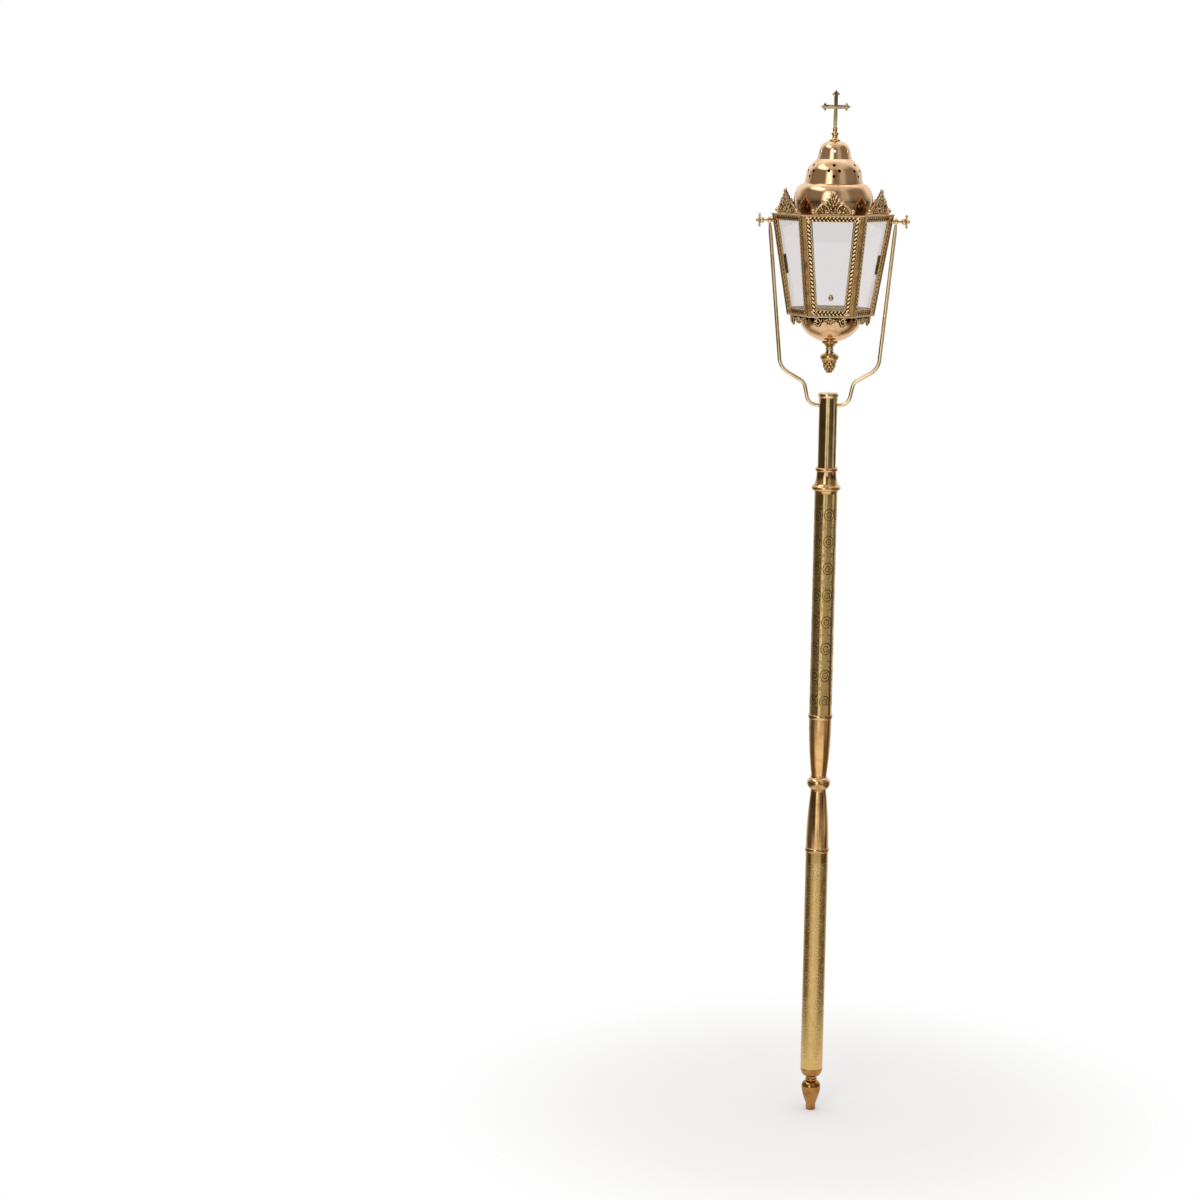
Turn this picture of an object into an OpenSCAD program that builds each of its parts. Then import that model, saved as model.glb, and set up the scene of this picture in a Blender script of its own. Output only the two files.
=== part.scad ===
// Processional lantern: a six-sided brass lantern that swings in a forked yoke on a jointed brass staff.
// Millimetres. Origin at the middle of the foot's tip, +Z up, the sliding front pane towards -Y.

/* [Foot] */
// Diameter of the foot's tip
foot_tip_d = 15.4; // [12:0.2:18]
// Height of the straight tip
foot_tip_h = 10; // [6:1:16]
// Diameter of the foot's ball
foot_ball_d = 30.2; // [26:0.2:34]
// Height of the ball above its widest point
foot_ball_rise = 9.5; // [6:0.5:11]
// Diameter of the bead above the ball
foot_bead_d = 18; // [15:0.5:20]
// Height of the bead above the ball
foot_bead_h = 5; // [3:0.5:7]
// Height of the whole foot
foot_h = 52; // [46:1:66]
// Diameter of the foot's threaded stud
foot_stud_d = 8; // [6:0.5:10]
// Length of the foot's threaded stud
foot_stud_l = 14; // [8:1:16]
// Diameter of the neck under the rounded shoulder
shoulder_neck_d = 17; // [14:0.5:22]
// Height of the rounded shoulder with its neck
shoulder_h = 17; // [12:1:26]
// Height of the neck under the rounded shoulder
shoulder_neck_h = 3; // [1:0.5:6]

/* [Staff] */
// Outside diameter of the two engraved tubes
staff_d = 35; // [33:0.5:38]
// Wall of the staff's tubes and tapers
tube_wall = 1.2; // [0.9:0.1:1.8]
// Length of the lower engraved tube
lower_tube_l = 351; // [200:1:500]
// Length of the upper engraved tube
upper_tube_l = 345; // [200:1:500]
// Length of each plug inside a tube
plug_l = 16; // [10:1:24]
// Height of the bead rings at the tapers
ring_h = 7; // [4:0.5:10]
// How far the bead rings stand proud of the tube
ring_proud = 1.4; // [0.8:0.1:2.5]
// Length of each taper
taper_l = 90; // [60:1:120]
// Diameter of the tapers at the ball knop
taper_end_d = 24; // [20:0.5:28]
// Thickness of the tapers' end wall
taper_web = 4; // [2:0.5:8]
// Diameter of the ball knop
knop_d = 36; // [31:0.5:42]
// Height of the ball knop with its collars
knop_h = 25; // [20:0.5:32]
// Height of each collar of the ball knop
knop_collar_h = 2.5; // [1.5:0.25:4]
// Diameter of the tie rod through the knop and the tapers
tie_rod_d = 8; // [6:0.5:10]
// Width across flats of the tie rod's nuts
tie_nut_af = 13; // [11:0.5:17]
// Height of the tie rod's nuts
tie_nut_h = 6.5; // [4:0.5:9]

/* [Staff head] */
// Outside diameter of the plain tube that carries the yoke
head_tube_d = 28; // [26:0.5:30]
// Length of the plain tube that shows
head_tube_l = 106; // [60:1:160]
// Depth of the plain tube in the socket collar
head_tube_seat = 34; // [20:1:38]
// Height of the socket collar
collar_h = 40; // [40:1:56]
// Diameter of the socket collar's lower bead
collar_bead_d = 44.6; // [42:0.2:50]
// Height of the socket collar's lower bead
collar_bead_h = 8; // [5:0.5:10]
// Diameter of the socket collar's upper bead
collar_lip_d = 34.4; // [33:0.2:40]
// Height of the socket collar's upper bead
collar_lip_h = 6; // [4:0.5:8]
// Wall of the socket collar at its waist
collar_waist_wall = 1; // [0.8:0.1:1.6]
// Height of the cap on the plain tube
cap_h = 7.5; // [5:0.5:11]
// How far the cap stands proud of the plain tube
cap_proud = 1.5; // [0.8:0.1:3]
// Rise of the cap's domed top
cap_dome = 0.8; // [0.4:0.1:2]
// Depth of the cap's plug in the plain tube
cap_plug_h = 3; // [2:0.5:5]
// Diameter of the cap's threaded stud
cap_stud_d = 6; // [4:0.5:8]
// Length of the cap's threaded stud
cap_stud_l = 17; // [8:0.5:19]

/* [Yoke] */
// Diameter of the yoke's rods
rod_d = 6; // [5:0.25:7]
// Distance of the rods' lower ends below the cap
rod_drop = 11.4; // [8:0.2:20]
// Gap between the two rods inside the head block
rod_end_gap = 11; // [9:0.5:14]
// Height of the head block below the rods' centre line
block_below = 14; // [10:0.5:24]
// Half width of the yoke where it leaves the plain tube
yoke_foot_x = 29.8; // [28:0.2:33]
// Half width of the yoke at its lower bend
yoke_waist_x = 37.4; // [35:0.2:44]
// Height of the lower bend above the rods' lower ends
yoke_waist_h = 34.7; // [28:0.1:42]
// Half width of the yoke at its upper bend
yoke_shoulder_x = 74.4; // [70:0.2:80]
// Height of the upper bend above the rods' lower ends
yoke_shoulder_h = 56.1; // [50:0.1:64]
// Radius of the bend into the plain tube
yoke_foot_r = 16.5; // [8:0.5:17]
// Radius of the rods' lower bend
yoke_waist_r = 14; // [9:0.5:18]
// Radius of the rods' upper bend
yoke_shoulder_r = 27; // [12:0.5:30]
// Diameter of the eye at the top of each rod
eye_d = 12; // [10:0.5:13]
// Thickness of the eye
eye_t = 3.8; // [2.5:0.1:5]
// Gap between the pinecone's tip and the top of the staff
tip_gap = 30; // [12:1:60]
// Diameter of the yoke's grub screws
grub_d = 4; // [3:0.5:5]

/* [Lantern body] */
// Distance from the axis to a corner at the top rim
rim_r = 92; // [86:0.5:98]
// Distance from the axis to a corner at the bottom rim
base_r = 66; // [62:0.5:70]
// Height of the glazed body over both rims
body_h = 153; // [120:1:190]
// Height of the top rim above the pivot
pivot_drop = 11; // [9:0.5:16]
// Thickness of the roof plate and the floor plate
plate_t = 2; // [1.5:0.1:3]
// How far the plates stand out at a corner as a lip
lip = 0.8; // [0.4:0.1:1.5]
// Thickness of the cast panel frames
frame_t = 2.5; // [2:0.1:3]
// Width of the frames' side bars
border_w = 9; // [7:0.5:11]
// Height of the frames' top bar
top_bar_h = 8.6; // [6:0.2:12]
// Height of the frames' bottom bar
bottom_bar_h = 9.2; // [6:0.2:12]
// Width of each leg of a corner post
post_w = 4.2; // [3.8:0.1:6]
// Thickness of the corner posts
post_t = 1.5; // [1:0.1:2]
// Thickness of the glass
pane_t = 2; // [1.5:0.1:2.5]
// How far the glass lies behind the frames' side bars
pane_lap = 5; // [3:0.5:5.5]
// Height of the clips that hold the glass
clip_h = 28; // [15:1:40]
// Length of each clip leaf from the corner
clip_leaf_w = 17; // [14:0.5:22]
// Thickness of the clips
clip_t = 0.8; // [0.6:0.1:1.2]
// Diameter of the pin that carries a clip
clip_pin_d = 3; // [2:0.25:4]
// Diameter of the front pane's ball knob
pane_knob_d = 8; // [7:0.5:12]
// Height of the ball knob above the bottom rim, along the glass
pane_knob_v = 31; // [22:0.5:36]
// Diameter of the ball knob's screw
pane_screw_d = 3; // [2:0.25:4]
// How far the ball knob stands off the glass
pane_knob_stem = 3; // [1.5:0.25:5]

/* [Roof] */
// Wall of the spun roof tiers
spun_wall = 1; // [0.8:0.1:1.4]
// Radius of the dome at the roof plate
dome_base_r = 58; // [55:0.5:62]
// Largest radius of the dome
dome_r = 59.5; // [57:0.5:63]
// Height of the dome's widest point above the roof plate
dome_wide_h = 20; // [14:0.5:26]
// Height of the dome
dome_h = 45; // [38:0.5:54]
// Radius of the middle tier at the dome
middle_r = 43.9; // [40:0.2:46]
// Radius of the middle tier at its shoulder
middle_shoulder_r = 40.8; // [38:0.2:43]
// Height of the middle tier's shoulder
middle_shoulder_h = 18; // [12:0.5:24]
// Height of the middle tier
middle_h = 36; // [31:0.5:42]
// Radius of the cap tier at the middle tier
top_r = 25.9; // [23:0.1:28]
// Radius of the cap tier at its shoulder
top_shoulder_r = 23.2; // [21:0.1:25]
// Height of the cap tier's shoulder
top_shoulder_h = 12.5; // [9:0.5:16]
// Height of the cap tier
top_h = 26.5; // [22:0.5:32]
// Width of the ledge on which each tier stands
tier_ledge = 7; // [4:0.5:9]
// Diameter of the vent holes
vent_d = 4.75; // [3:0.25:5.5]
// Spread of the four vent holes of a cluster
vent_spread = 8.2; // [6:0.2:9]

/* [Cross] */
// Diameter of the cross base's flange
cross_flange_d = 17; // [14:0.5:22]
// Thickness of the cross base's flange
cross_flange_h = 3.5; // [2:0.25:5]
// Diameter of the cross base's waist
cross_waist_d = 7.6; // [6.5:0.2:9]
// Diameter of the cross base's bead
cross_bead_d = 11; // [9:0.25:13]
// Height of the cross base
cross_base_h = 19.5; // [16:0.5:26]
// Height of the cross
cross_h = 56; // [44:0.5:70]
// Width of the cross
cross_w = 44; // [36:0.5:52]
// Height of the cross's arms above its foot
cross_arm_h = 31.2; // [28:0.1:35]
// Width of the cross's bars
cross_bar = 6; // [5:0.25:8]
// Thickness of the cross
cross_t = 3.4; // [2.5:0.1:5]
// Size over the points of the cross's buds
cross_bud = 12; // [10:0.25:15]
// Diameter of the cross's pin in its base
cross_pin_d = 3; // [2:0.25:4]
// Diameter of the threaded stud under the cross base
cross_stud_d = 5; // [4:0.25:6]

/* [Cast ornament] */
// Width of each crest
crest_w = 65.5; // [56:0.5:72]
// Height of each crest
crest_h = 37; // [26:0.5:44]
// Thickness of each crest
crest_t = 2.2; // [1.6:0.1:2.4]
// Diameter of the balls at a crest's ends
crest_ball_d = 7; // [5:0.25:9]
// Width of each apron
apron_w = 50; // [44:0.5:60]
// Depth of each apron
apron_h = 16; // [12:0.5:22]
// Thickness of each apron
apron_t = 2; // [1.4:0.1:3]

/* [Bowl and finial] */
// Radius of the bowl at the floor plate
bowl_r = 47.5; // [44:0.5:50]
// Depth of the bowl as a full curve
bowl_depth = 40.5; // [34:0.5:52]
// Width of the bowl's flange
bowl_flange = 3; // [1.5:0.25:5]
// Radius of the flat on which the finial seats
bowl_flat_r = 10.5; // [8:0.5:13]
// Radius of the finial neck's flange
neck_flange_r = 12.5; // [11:0.25:15]
// Thickness of the finial neck's flange
neck_flange_h = 2; // [1:0.25:4]
// Radius of the finial neck at its waist
neck_waist_r = 5.3; // [4.5:0.1:7]
// Length of the finial neck
neck_l = 17; // [13:0.5:24]
// Radius of the pinecone's collar
cone_collar_r = 14.2; // [12:0.2:17]
// Radius of the pinecone under its collar
cone_r = 10.8; // [9:0.2:12.6]
// Height of the pinecone's collar
cone_collar_h = 12; // [9:0.5:15]
// Length of the pinecone
cone_l = 30; // [26:0.5:40]
// Diameter of the finial's threaded stud
finial_stud_d = 6; // [5:0.25:7]
// Width across flats of the nut in the bowl
bowl_nut_af = 10; // [9:0.5:13]
// Height of the nut in the bowl
bowl_nut_h = 5; // [3:0.5:7]
// Bore of the candle cup
candle_d = 20; // [16:0.5:26]
// Wall of the candle cup
cup_wall = 0.8; // [0.6:0.1:1.2]
// Depth of the candle cup under the floor plate
cup_depth = 26; // [16:0.5:28]
// Width of the candle cup's rim on the floor plate
cup_rim = 4; // [2:0.5:6]

/* [Thumbscrews] */
// Diameter of the pivot screw's stem
pivot_d = 4; // [3:0.25:4.5]
// Outside diameter of the threaded bush in the corner post
bush_d = 6; // [5.5:0.1:6.4]
// Length of the threaded bush
bush_l = 11; // [8:0.5:14]
// Diameter of the collar inside the corner
bush_collar_d = 8; // [7:0.25:8.6]
// Thickness of the collar inside the corner
bush_collar_t = 3; // [2:0.25:4]
// Length of the thumbscrew's head outside the yoke
thumb_l = 18.5; // [16:0.5:24]
// Diameter of the thumbscrew's bell
bell_d = 10; // [8:0.2:12]
// Diameter of the thumbscrew's end ball
thumb_ball_d = 6; // [5:0.2:8]
// Length of the cross bar through the thumbscrew
bar_l = 21; // [16:0.5:28]
// Diameter of the cross bar
bar_d = 2.6; // [1.6:0.1:3]
// Diameter of the cross bar's tips
bar_tip_d = 4; // [3.2:0.1:5]

/* [Fits] */
// Clearance of a plug, stud or rod in its seat, on the radius
fit = 0.05; // [0.03:0.01:0.1]
// Gap beside a piece that slides or swings
run_gap = 0.3; // [0.2:0.05:0.5]

/* [Hidden] */
$fn = 64;

// Colours of the finishes
spun_brass = "#d9a871";
tube_brass = "#b9983f";
cast_brass = "#a8823f";
turned_brass = "#c79d56";
clear_glass = "#dcd8d8";
steel = "#8d8f92";

// Overrun of a cutter past the face that it cuts, and size of a cutting block
over = 1;
block = 500;
// Small chamfer on turned edges, and step between turned pieces that meet
edge = 0.8;
step = 0.3;
// Points closer than this count as one
tiny = 0.001;
// Swelling of a bent rod on its radius, and length of straight rod inside a bend
bend_swell = 0.05;
bend_lap = 0.5;
// Six sides, and the cosine that takes a corner radius to a side's distance
sides = 6;
turn = 360 / sides;
cos_side = cos(turn / 2);
tan_side = tan(turn / 2);

// Radii
staff_r = staff_d / 2;
plug_r = staff_r - tube_wall - fit;
head_r = head_tube_d / 2;
head_plug_r = head_r - tube_wall - fit;
rod_r = rod_d / 2;
pivot_r = pivot_d / 2;

// Heights up the staff
shoulder_z = foot_h;
lower_z = shoulder_z + shoulder_h;
lower_ring_z = lower_z + lower_tube_l;
lower_taper_z = lower_ring_z + ring_h;
knop_z = lower_taper_z + taper_l;
upper_taper_z = knop_z + knop_h;
upper_ring_z = upper_taper_z + taper_l;
upper_z = upper_ring_z + ring_h;
collar_z = upper_z + upper_tube_l;
head_z = collar_z + collar_h;
cap_z = head_z + head_tube_l;
rod_z = cap_z - rod_drop;
block_top_z = cap_z - cap_plug_h;
block_z = rod_z - block_below;

// Heights of the lantern, counted up from the top of the staff
tip_z = cap_z + cap_h + cap_dome + tip_gap;
neck_z = tip_z + cone_l;
flat_z = neck_z + neck_l;
bowl_flat_rise = bowl_depth * (1 - sqrt(1 - pow(bowl_flat_r / bowl_r, 2)));
base_z = flat_z - bowl_flat_rise + bowl_depth;
floor_z = base_z + plate_t;
rim_z = base_z + body_h;
ceiling_z = rim_z - plate_t;
pivot_z = rim_z - pivot_drop;
middle_z = rim_z + dome_h;
top_z = middle_z + middle_h;
cross_base_z = top_z + top_h;
cross_z = cross_base_z + cross_base_h;

// The sloping sides: distance from the axis to a side, slope and length up the side
base_side = base_r * cos_side;
rim_side = rim_r * cos_side;
slope = atan((rim_side - base_side) / body_h);
side_h = body_h / cos(slope);
front_depth = frame_t + run_gap;

// The pivot on the left and right corners
eye_in_x = rim_r + lip + run_gap;
eye_x = eye_in_x + eye_t / 2;
bush_end_x = eye_in_x - run_gap;
thumb_x = eye_in_x + eye_t + run_gap;

// Half width of a side at height v up its slope
function half(v) = (base_r + (rim_r - base_r) * v / side_h) / 2;
function bez(a, b, c, n = 8) =
    [for (i = [0:n]) let (t = i / n) (1 - t) * (1 - t) * a + 2 * t * (1 - t) * b + t * t * c];
function ell(c, rx, ry, a0, a1, n = 8) =
    [for (i = [0:n]) let (a = a0 + (a1 - a0) * i / n) c + [rx * cos(a), ry * sin(a)]];
function reversed(p) = [for (i = [len(p) - 1:-1:0]) p[i]];
function flipped(p) = [for (q = reversed(p)) [-q.x, q.y]];
function tidy(p) = [for (i = [0:len(p) - 1]) if (i == 0 || norm(p[i] - p[max(i - 1, 0)]) > tiny) p[i]];
function along(p, i) = p[min(i + 1, len(p) - 1)] - p[max(i - 1, 0)];
// Points of a wall's inner face, at a distance t inside an outer face that runs upwards
function inset(p, t) =
    [for (i = [0:len(p) - 1]) let (d = along(p, i) / norm(along(p, i)))
        [p[i].x - t * d.y, max(p[i].y + t * d.x, p[0].y)]];

module lathe(points) rotate_extrude() polygon(tidy(points));

module tube(d, bore, z, l) {
    translate([0, 0, z]) difference() {
        cylinder(d = d, h = l);
        translate([0, 0, -over]) cylinder(d = bore, h = l + 2 * over);
    }
}

module hex_nut(af, bore, h) {
    difference() {
        cylinder(d = af / cos_side, h = h, $fn = sides);
        translate([0, 0, -over]) cylinder(d = bore, h = h + 2 * over);
    }
}

// Spun shell of revolution: outer profile upwards, closed to a ring of inner radius open_r
module spun(profile, open_r) {
    last = profile[len(profile) - 1];
    outer = tidy(concat(profile, [[open_r, last.y]]));
    lathe(concat(outer, reversed(inset(outer, spun_wall))));
}

// Staff

module foot_knob() {
    tip_r = foot_tip_d / 2;
    bead_proud = 1;
    core_r = foot_bead_d / 2 - bead_proud;
    ball_z = foot_h - foot_bead_h - foot_ball_rise;
    ball = ell([core_r, ball_z], foot_ball_d / 2 - core_r, foot_ball_rise, 0, 90, 10);
    bead = ell([core_r, foot_h - foot_bead_h / 2], bead_proud, foot_bead_h / 2, -90, 90, 6);
    flare_z = foot_tip_h + (ball_z - foot_tip_h) * 0.65;
    flare = bez([tip_r, foot_tip_h], [foot_ball_d / 2, flare_z], ball[0], 10);
    stud_r = foot_stud_d / 2;
    stud_z = foot_h + foot_stud_l;
    color(turned_brass)
        lathe(concat([[0, 0], [tip_r - edge, 0], [tip_r, edge]], flare, ball, bead,
            [[stud_r, foot_h], [stud_r, stud_z], [0, stud_z]]));
}

module foot_shoulder() {
    bore_r = foot_stud_d / 2 + fit;
    bore_z = foot_h + foot_stud_l + over;
    neck_r = shoulder_neck_d / 2;
    dome = ell([neck_r, lower_z], staff_r - neck_r, shoulder_h - shoulder_neck_h, -90, 0, 10);
    plug_top = max(lower_z + plug_l, bore_z + tube_wall);
    color(turned_brass)
        lathe(concat([[bore_r, shoulder_z], [neck_r, shoulder_z]], dome,
            [[plug_r, lower_z], [plug_r, plug_top], [0, plug_top], [0, bore_z], [bore_r, bore_z]]));
}

module lower_tube() color(tube_brass) tube(staff_d, staff_d - 2 * tube_wall, lower_z, lower_tube_l);

// Bead ring with a plug that points down into a tube, from its upper face at z = 0
module bead_ring() {
    bore_r = tie_rod_d / 2 + fit;
    bead = ell([staff_r, -ring_h / 2], ring_proud, ring_h / 2, -90, 90, 10);
    plug_z = -ring_h - plug_l;
    lathe(concat([[bore_r, plug_z], [plug_r, plug_z], [plug_r, -ring_h]], bead, [[bore_r, 0]]));
}

module lower_ring() color(turned_brass) translate([0, 0, lower_taper_z]) bead_ring();

// Hollow taper from its wide end at z = 0
module taper() {
    bore_r = tie_rod_d / 2 + fit;
    steps = 14;
    function taper_r(z) = staff_r - (staff_r - taper_end_d / 2) * pow(z / taper_l, 2);
    outer = [for (i = [0:steps]) let (z = taper_l * i / steps) [taper_r(z), z]];
    inner_l = taper_l - taper_web;
    inner = [for (i = [steps:-1:0]) let (z = inner_l * i / steps) [taper_r(z) - 2 * tube_wall, z]];
    lathe(concat(outer, [[bore_r, taper_l], [bore_r, inner_l]], inner));
}

module lower_taper() color(spun_brass) translate([0, 0, lower_taper_z]) taper();

module ball_knop() {
    bore_r = tie_rod_d / 2 + fit;
    neck_r = taper_end_d / 2 + step;
    core_r = taper_end_d / 3;
    ball_rise = knop_h / 2 - knop_collar_h + step;
    lean = acos((neck_r - core_r) / (knop_d / 2 - core_r));
    ball = ell([core_r, knop_h / 2], knop_d / 2 - core_r, ball_rise, -lean, lean, 16);
    color(turned_brass) translate([0, 0, knop_z])
        lathe(concat([[bore_r, 0], [neck_r, 0]], ball, [[neck_r, knop_h], [bore_r, knop_h]]));
}

module upper_taper() color(spun_brass) translate([0, 0, upper_ring_z]) mirror([0, 0, 1]) taper();

module upper_ring() color(turned_brass) translate([0, 0, upper_ring_z]) mirror([0, 0, 1]) bead_ring();

module upper_tube() color(tube_brass) tube(staff_d, staff_d - 2 * tube_wall, upper_z, upper_tube_l);

tie_low_z = lower_ring_z - plug_l;
tie_high_z = upper_z + plug_l;

module tie_rod() {
    color(steel) translate([0, 0, tie_low_z - tie_nut_h - over])
        cylinder(d = tie_rod_d, h = tie_high_z - tie_low_z + 2 * (tie_nut_h + over));
}

module tie_nuts() {
    color(steel) for (z = [tie_low_z - tie_nut_h, tie_high_z])
        translate([0, 0, z]) hex_nut(tie_nut_af, tie_rod_d + 2 * fit, tie_nut_h);
}

// Staff head and yoke

module socket_collar() {
    seat_r = head_r + fit;
    waist_r = seat_r + collar_waist_wall;
    step_r = staff_r + edge;
    foot_rise = 4;
    bore_r = head_r - 2 * tube_wall - over;
    seat_z = collar_h - head_tube_seat;
    bead_z = collar_bead_h / 2 + foot_rise;
    bead = ell([step_r, bead_z], collar_bead_d / 2 - step_r, collar_bead_h / 2, -90, 60, 10);
    lip_z = collar_h - collar_lip_h / 2 - edge;
    lip_bead = ell([waist_r, lip_z], collar_lip_d / 2 - waist_r, collar_lip_h / 2, -90, 90, 10);
    flare = bez(bead[10], [waist_r, bead_z + collar_bead_h], [waist_r, lip_z - collar_lip_h / 2], 8);
    color(turned_brass) translate([0, 0, collar_z])
        lathe(concat([[bore_r, -plug_l], [plug_r, -plug_l], [plug_r, 0], [staff_r, 0]], bead, flare, lip_bead,
            [[waist_r, collar_h], [seat_r, collar_h], [seat_r, seat_z], [bore_r, seat_z]]));
}

module head_tube() {
    color(tube_brass) difference() {
        tube(head_tube_d, head_tube_d - 2 * tube_wall, head_z - head_tube_seat, head_tube_l + head_tube_seat);
        translate([-staff_d, 0, rod_z]) rotate([0, 90, 0]) cylinder(d = rod_d + 2 * fit, h = 2 * staff_d);
    }
}

module head_cap() {
    stud_r = cap_stud_d / 2;
    stud_z = -cap_plug_h - cap_stud_l;
    bead = ell([head_r, cap_h / 2], cap_proud, cap_h / 2, -90, 90, 10);
    color(turned_brass) translate([0, 0, cap_z])
        lathe(concat([[0, stud_z], [stud_r, stud_z], [stud_r, -cap_plug_h],
            [head_plug_r, -cap_plug_h], [head_plug_r, 0]], bead, [[0, cap_h + cap_dome]]));
}

grub_x = (rod_end_gap / 2 + head_plug_r) / 2;

module yoke_block() {
    stud_z = block_top_z - cap_stud_l - over;
    color(turned_brass) difference() {
        translate([0, 0, block_z]) cylinder(r = head_plug_r, h = block_top_z - block_z);
        translate([0, 0, stud_z]) cylinder(d = cap_stud_d + 2 * fit, h = block);
        for (s = [-1, 1]) {
            translate([s * (rod_end_gap / 2 - fit), 0, rod_z]) rotate([0, s * 90, 0])
                cylinder(d = rod_d + 2 * fit, h = staff_d);
            translate([s * grub_x, 0, rod_z]) cylinder(d = grub_d + 2 * fit, h = block);
        }
    }
}

module yoke_grub_screws() {
    tip = rod_z + rod_r + fit;
    color(steel) for (s = [-1, 1])
        translate([s * grub_x, 0, tip]) cylinder(d = grub_d, h = block_top_z - tip - fit);
}

// Straight length of rod between two points of the XZ plane
module rod(a, b) {
    translate([a.x, 0, a.y]) rotate([0, atan2(b.x - a.x, b.y - a.y), 0]) cylinder(d = rod_d, h = norm(b - a));
}

function unit(v) = v / norm(v);
function corner_angle(p, q, r) = acos(unit(p - q) * unit(r - q));
function set_back(p, q, r, bend) = bend / tan(corner_angle(p, q, r) / 2);

// Bend of rod round the corner q between p and r
module rod_bend(p, q, r, bend) {
    wide = corner_angle(p, q, r);
    centre = q + unit(unit(p - q) + unit(r - q)) * bend / sin(wide / 2);
    a = q + unit(p - q) * set_back(p, q, r, bend) - centre;
    b = q + unit(r - q) * set_back(p, q, r, bend) - centre;
    first = (a.x * b.y - a.y * b.x > 0) ? a : b;
    translate([centre.x, 0, centre.y]) rotate([90, 0, 0]) rotate([0, 0, atan2(first.y, first.x)])
        rotate_extrude(angle = 180 - wide) translate([bend, 0]) circle(r = rod_r + bend_swell);
}

// Right-hand rod of the yoke, from the head block to its eye
module yoke_arm() {
    eye = [eye_x, pivot_z];
    path = [[rod_end_gap / 2, rod_z], [yoke_foot_x, rod_z], [yoke_waist_x, rod_z + yoke_waist_h],
        [yoke_shoulder_x, rod_z + yoke_shoulder_h], eye];
    bends = [0, yoke_foot_r, yoke_waist_r, yoke_shoulder_r];
    last = len(path) - 1;
    backs = [for (i = [0:last]) (i == 0) ? 0 : (i == last) ? eye_d / 2 - over
        : set_back(path[i - 1], path[i], path[i + 1], bends[i]) - bend_lap];
    color(turned_brass) difference() {
        union() {
            for (i = [0:last - 1])
                rod(path[i] + unit(path[i + 1] - path[i]) * backs[i],
                    path[i + 1] - unit(path[i + 1] - path[i]) * backs[i + 1]);
            for (i = [1:last - 1]) rod_bend(path[i - 1], path[i], path[i + 1], bends[i]);
            translate([eye_in_x, 0, pivot_z]) rotate([0, 90, 0]) cylinder(d = eye_d, h = eye_t);
        }
        translate([eye_in_x - rod_d, 0, pivot_z]) rotate([0, 90, 0])
            cylinder(d = pivot_d + 2 * fit, h = eye_t + 2 * rod_d);
        translate([eye_in_x - block, -block / 2, pivot_z - eye_d / 2])
            cube([block, block, block]);
    }
}

module yoke_arm_right() yoke_arm();
module yoke_arm_left() mirror([1, 0, 0]) yoke_arm();

// Lantern body

// Frame of a side: x along it, y up its slope from the bottom rim, z outwards
module on_side(i) {
    rotate([0, 0, turn * i]) translate([0, -base_side, base_z]) rotate([90 + slope, 0, 0]) children();
}

// Strip of a side's plane between two widths measured in from its corners
module side_plate(inside, t, depth) {
    v0 = -side_h;
    v1 = 2 * side_h;
    translate([0, 0, -depth - t]) linear_extrude(t)
        polygon([[-half(v0) + inside, v0], [half(v0) - inside, v0],
            [half(v1) - inside, v1], [-half(v1) + inside, v1]]);
}

// Horizontal slice of space between two heights
module slice(z0, z1) translate([-block / 2, -block / 2, z0]) cube([block, block, z1 - z0]);

module pivot_hole(d) {
    translate([-block / 2, 0, pivot_z]) rotate([0, 90, 0]) cylinder(d = d, h = block);
}

window_v0 = (plate_t + bottom_bar_h) / cos(slope);
window_v1 = side_h - (plate_t + top_bar_h) / cos(slope);

module panel_frame(i) {
    inside = post_w + border_w;
    color(cast_brass) difference() {
        intersection() {
            on_side(i) side_plate(post_w, frame_t, 0);
            slice(floor_z, ceiling_z);
        }
        on_side(i) translate([0, 0, -frame_t - over]) linear_extrude(frame_t + 2 * over)
            polygon([[-half(window_v0) + inside, window_v0], [half(window_v0) - inside, window_v0],
                [half(window_v1) - inside, window_v1], [-half(window_v1) + inside, window_v1]]);
        pivot_hole(bush_d + 2 * fit);
    }
}

module frame_front() panel_frame(0);
module frame_front_right() panel_frame(1);
module frame_back_right() panel_frame(2);
module frame_back() panel_frame(3);
module frame_back_left() panel_frame(4);
module frame_front_left() panel_frame(5);

module corner_post(i) {
    difference() {
        intersection() {
            union() {
                on_side(i) post_leg(1);
                on_side(i + 1) post_leg(-1);
            }
            slice(floor_z, ceiling_z);
        }
        pivot_hole(bush_d + 2 * fit);
    }
}

module post_leg(s) {
    v0 = -over;
    v1 = side_h + over;
    translate([0, 0, -post_t]) linear_extrude(post_t)
        polygon([[s * half(v0), v0], [s * half(v1), v1],
            [s * (half(v1) - post_w), v1], [s * (half(v0) - post_w), v0]]);
}

module corner_posts() color(turned_brass) for (i = [0:sides - 1]) corner_post(i);

pane_inside = post_w + border_w - pane_lap;

module fixed_pane(i) {
    color(clear_glass, 0.4) intersection() {
        on_side(i) side_plate(pane_inside, pane_t, frame_t);
        slice(floor_z, ceiling_z);
    }
}

module pane_front() {
    color(clear_glass, 0.4) difference() {
        intersection() {
            on_side(0) side_plate(pane_inside, pane_t, front_depth);
            slice(floor_z + run_gap, ceiling_z - run_gap);
        }
        on_side(0) translate([0, pane_knob_v, -block / 2]) cylinder(d = pane_screw_d + 2 * fit, h = block);
    }
}

module pane_front_right() fixed_pane(1);
module pane_back_right() fixed_pane(2);
module pane_back() fixed_pane(3);
module pane_back_left() fixed_pane(4);
module pane_front_left() fixed_pane(5);

// Ball knob on the outer face of the front pane, with its screw from the inside
pane_face = -front_depth;
pane_back_face = pane_face - pane_t;

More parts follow.
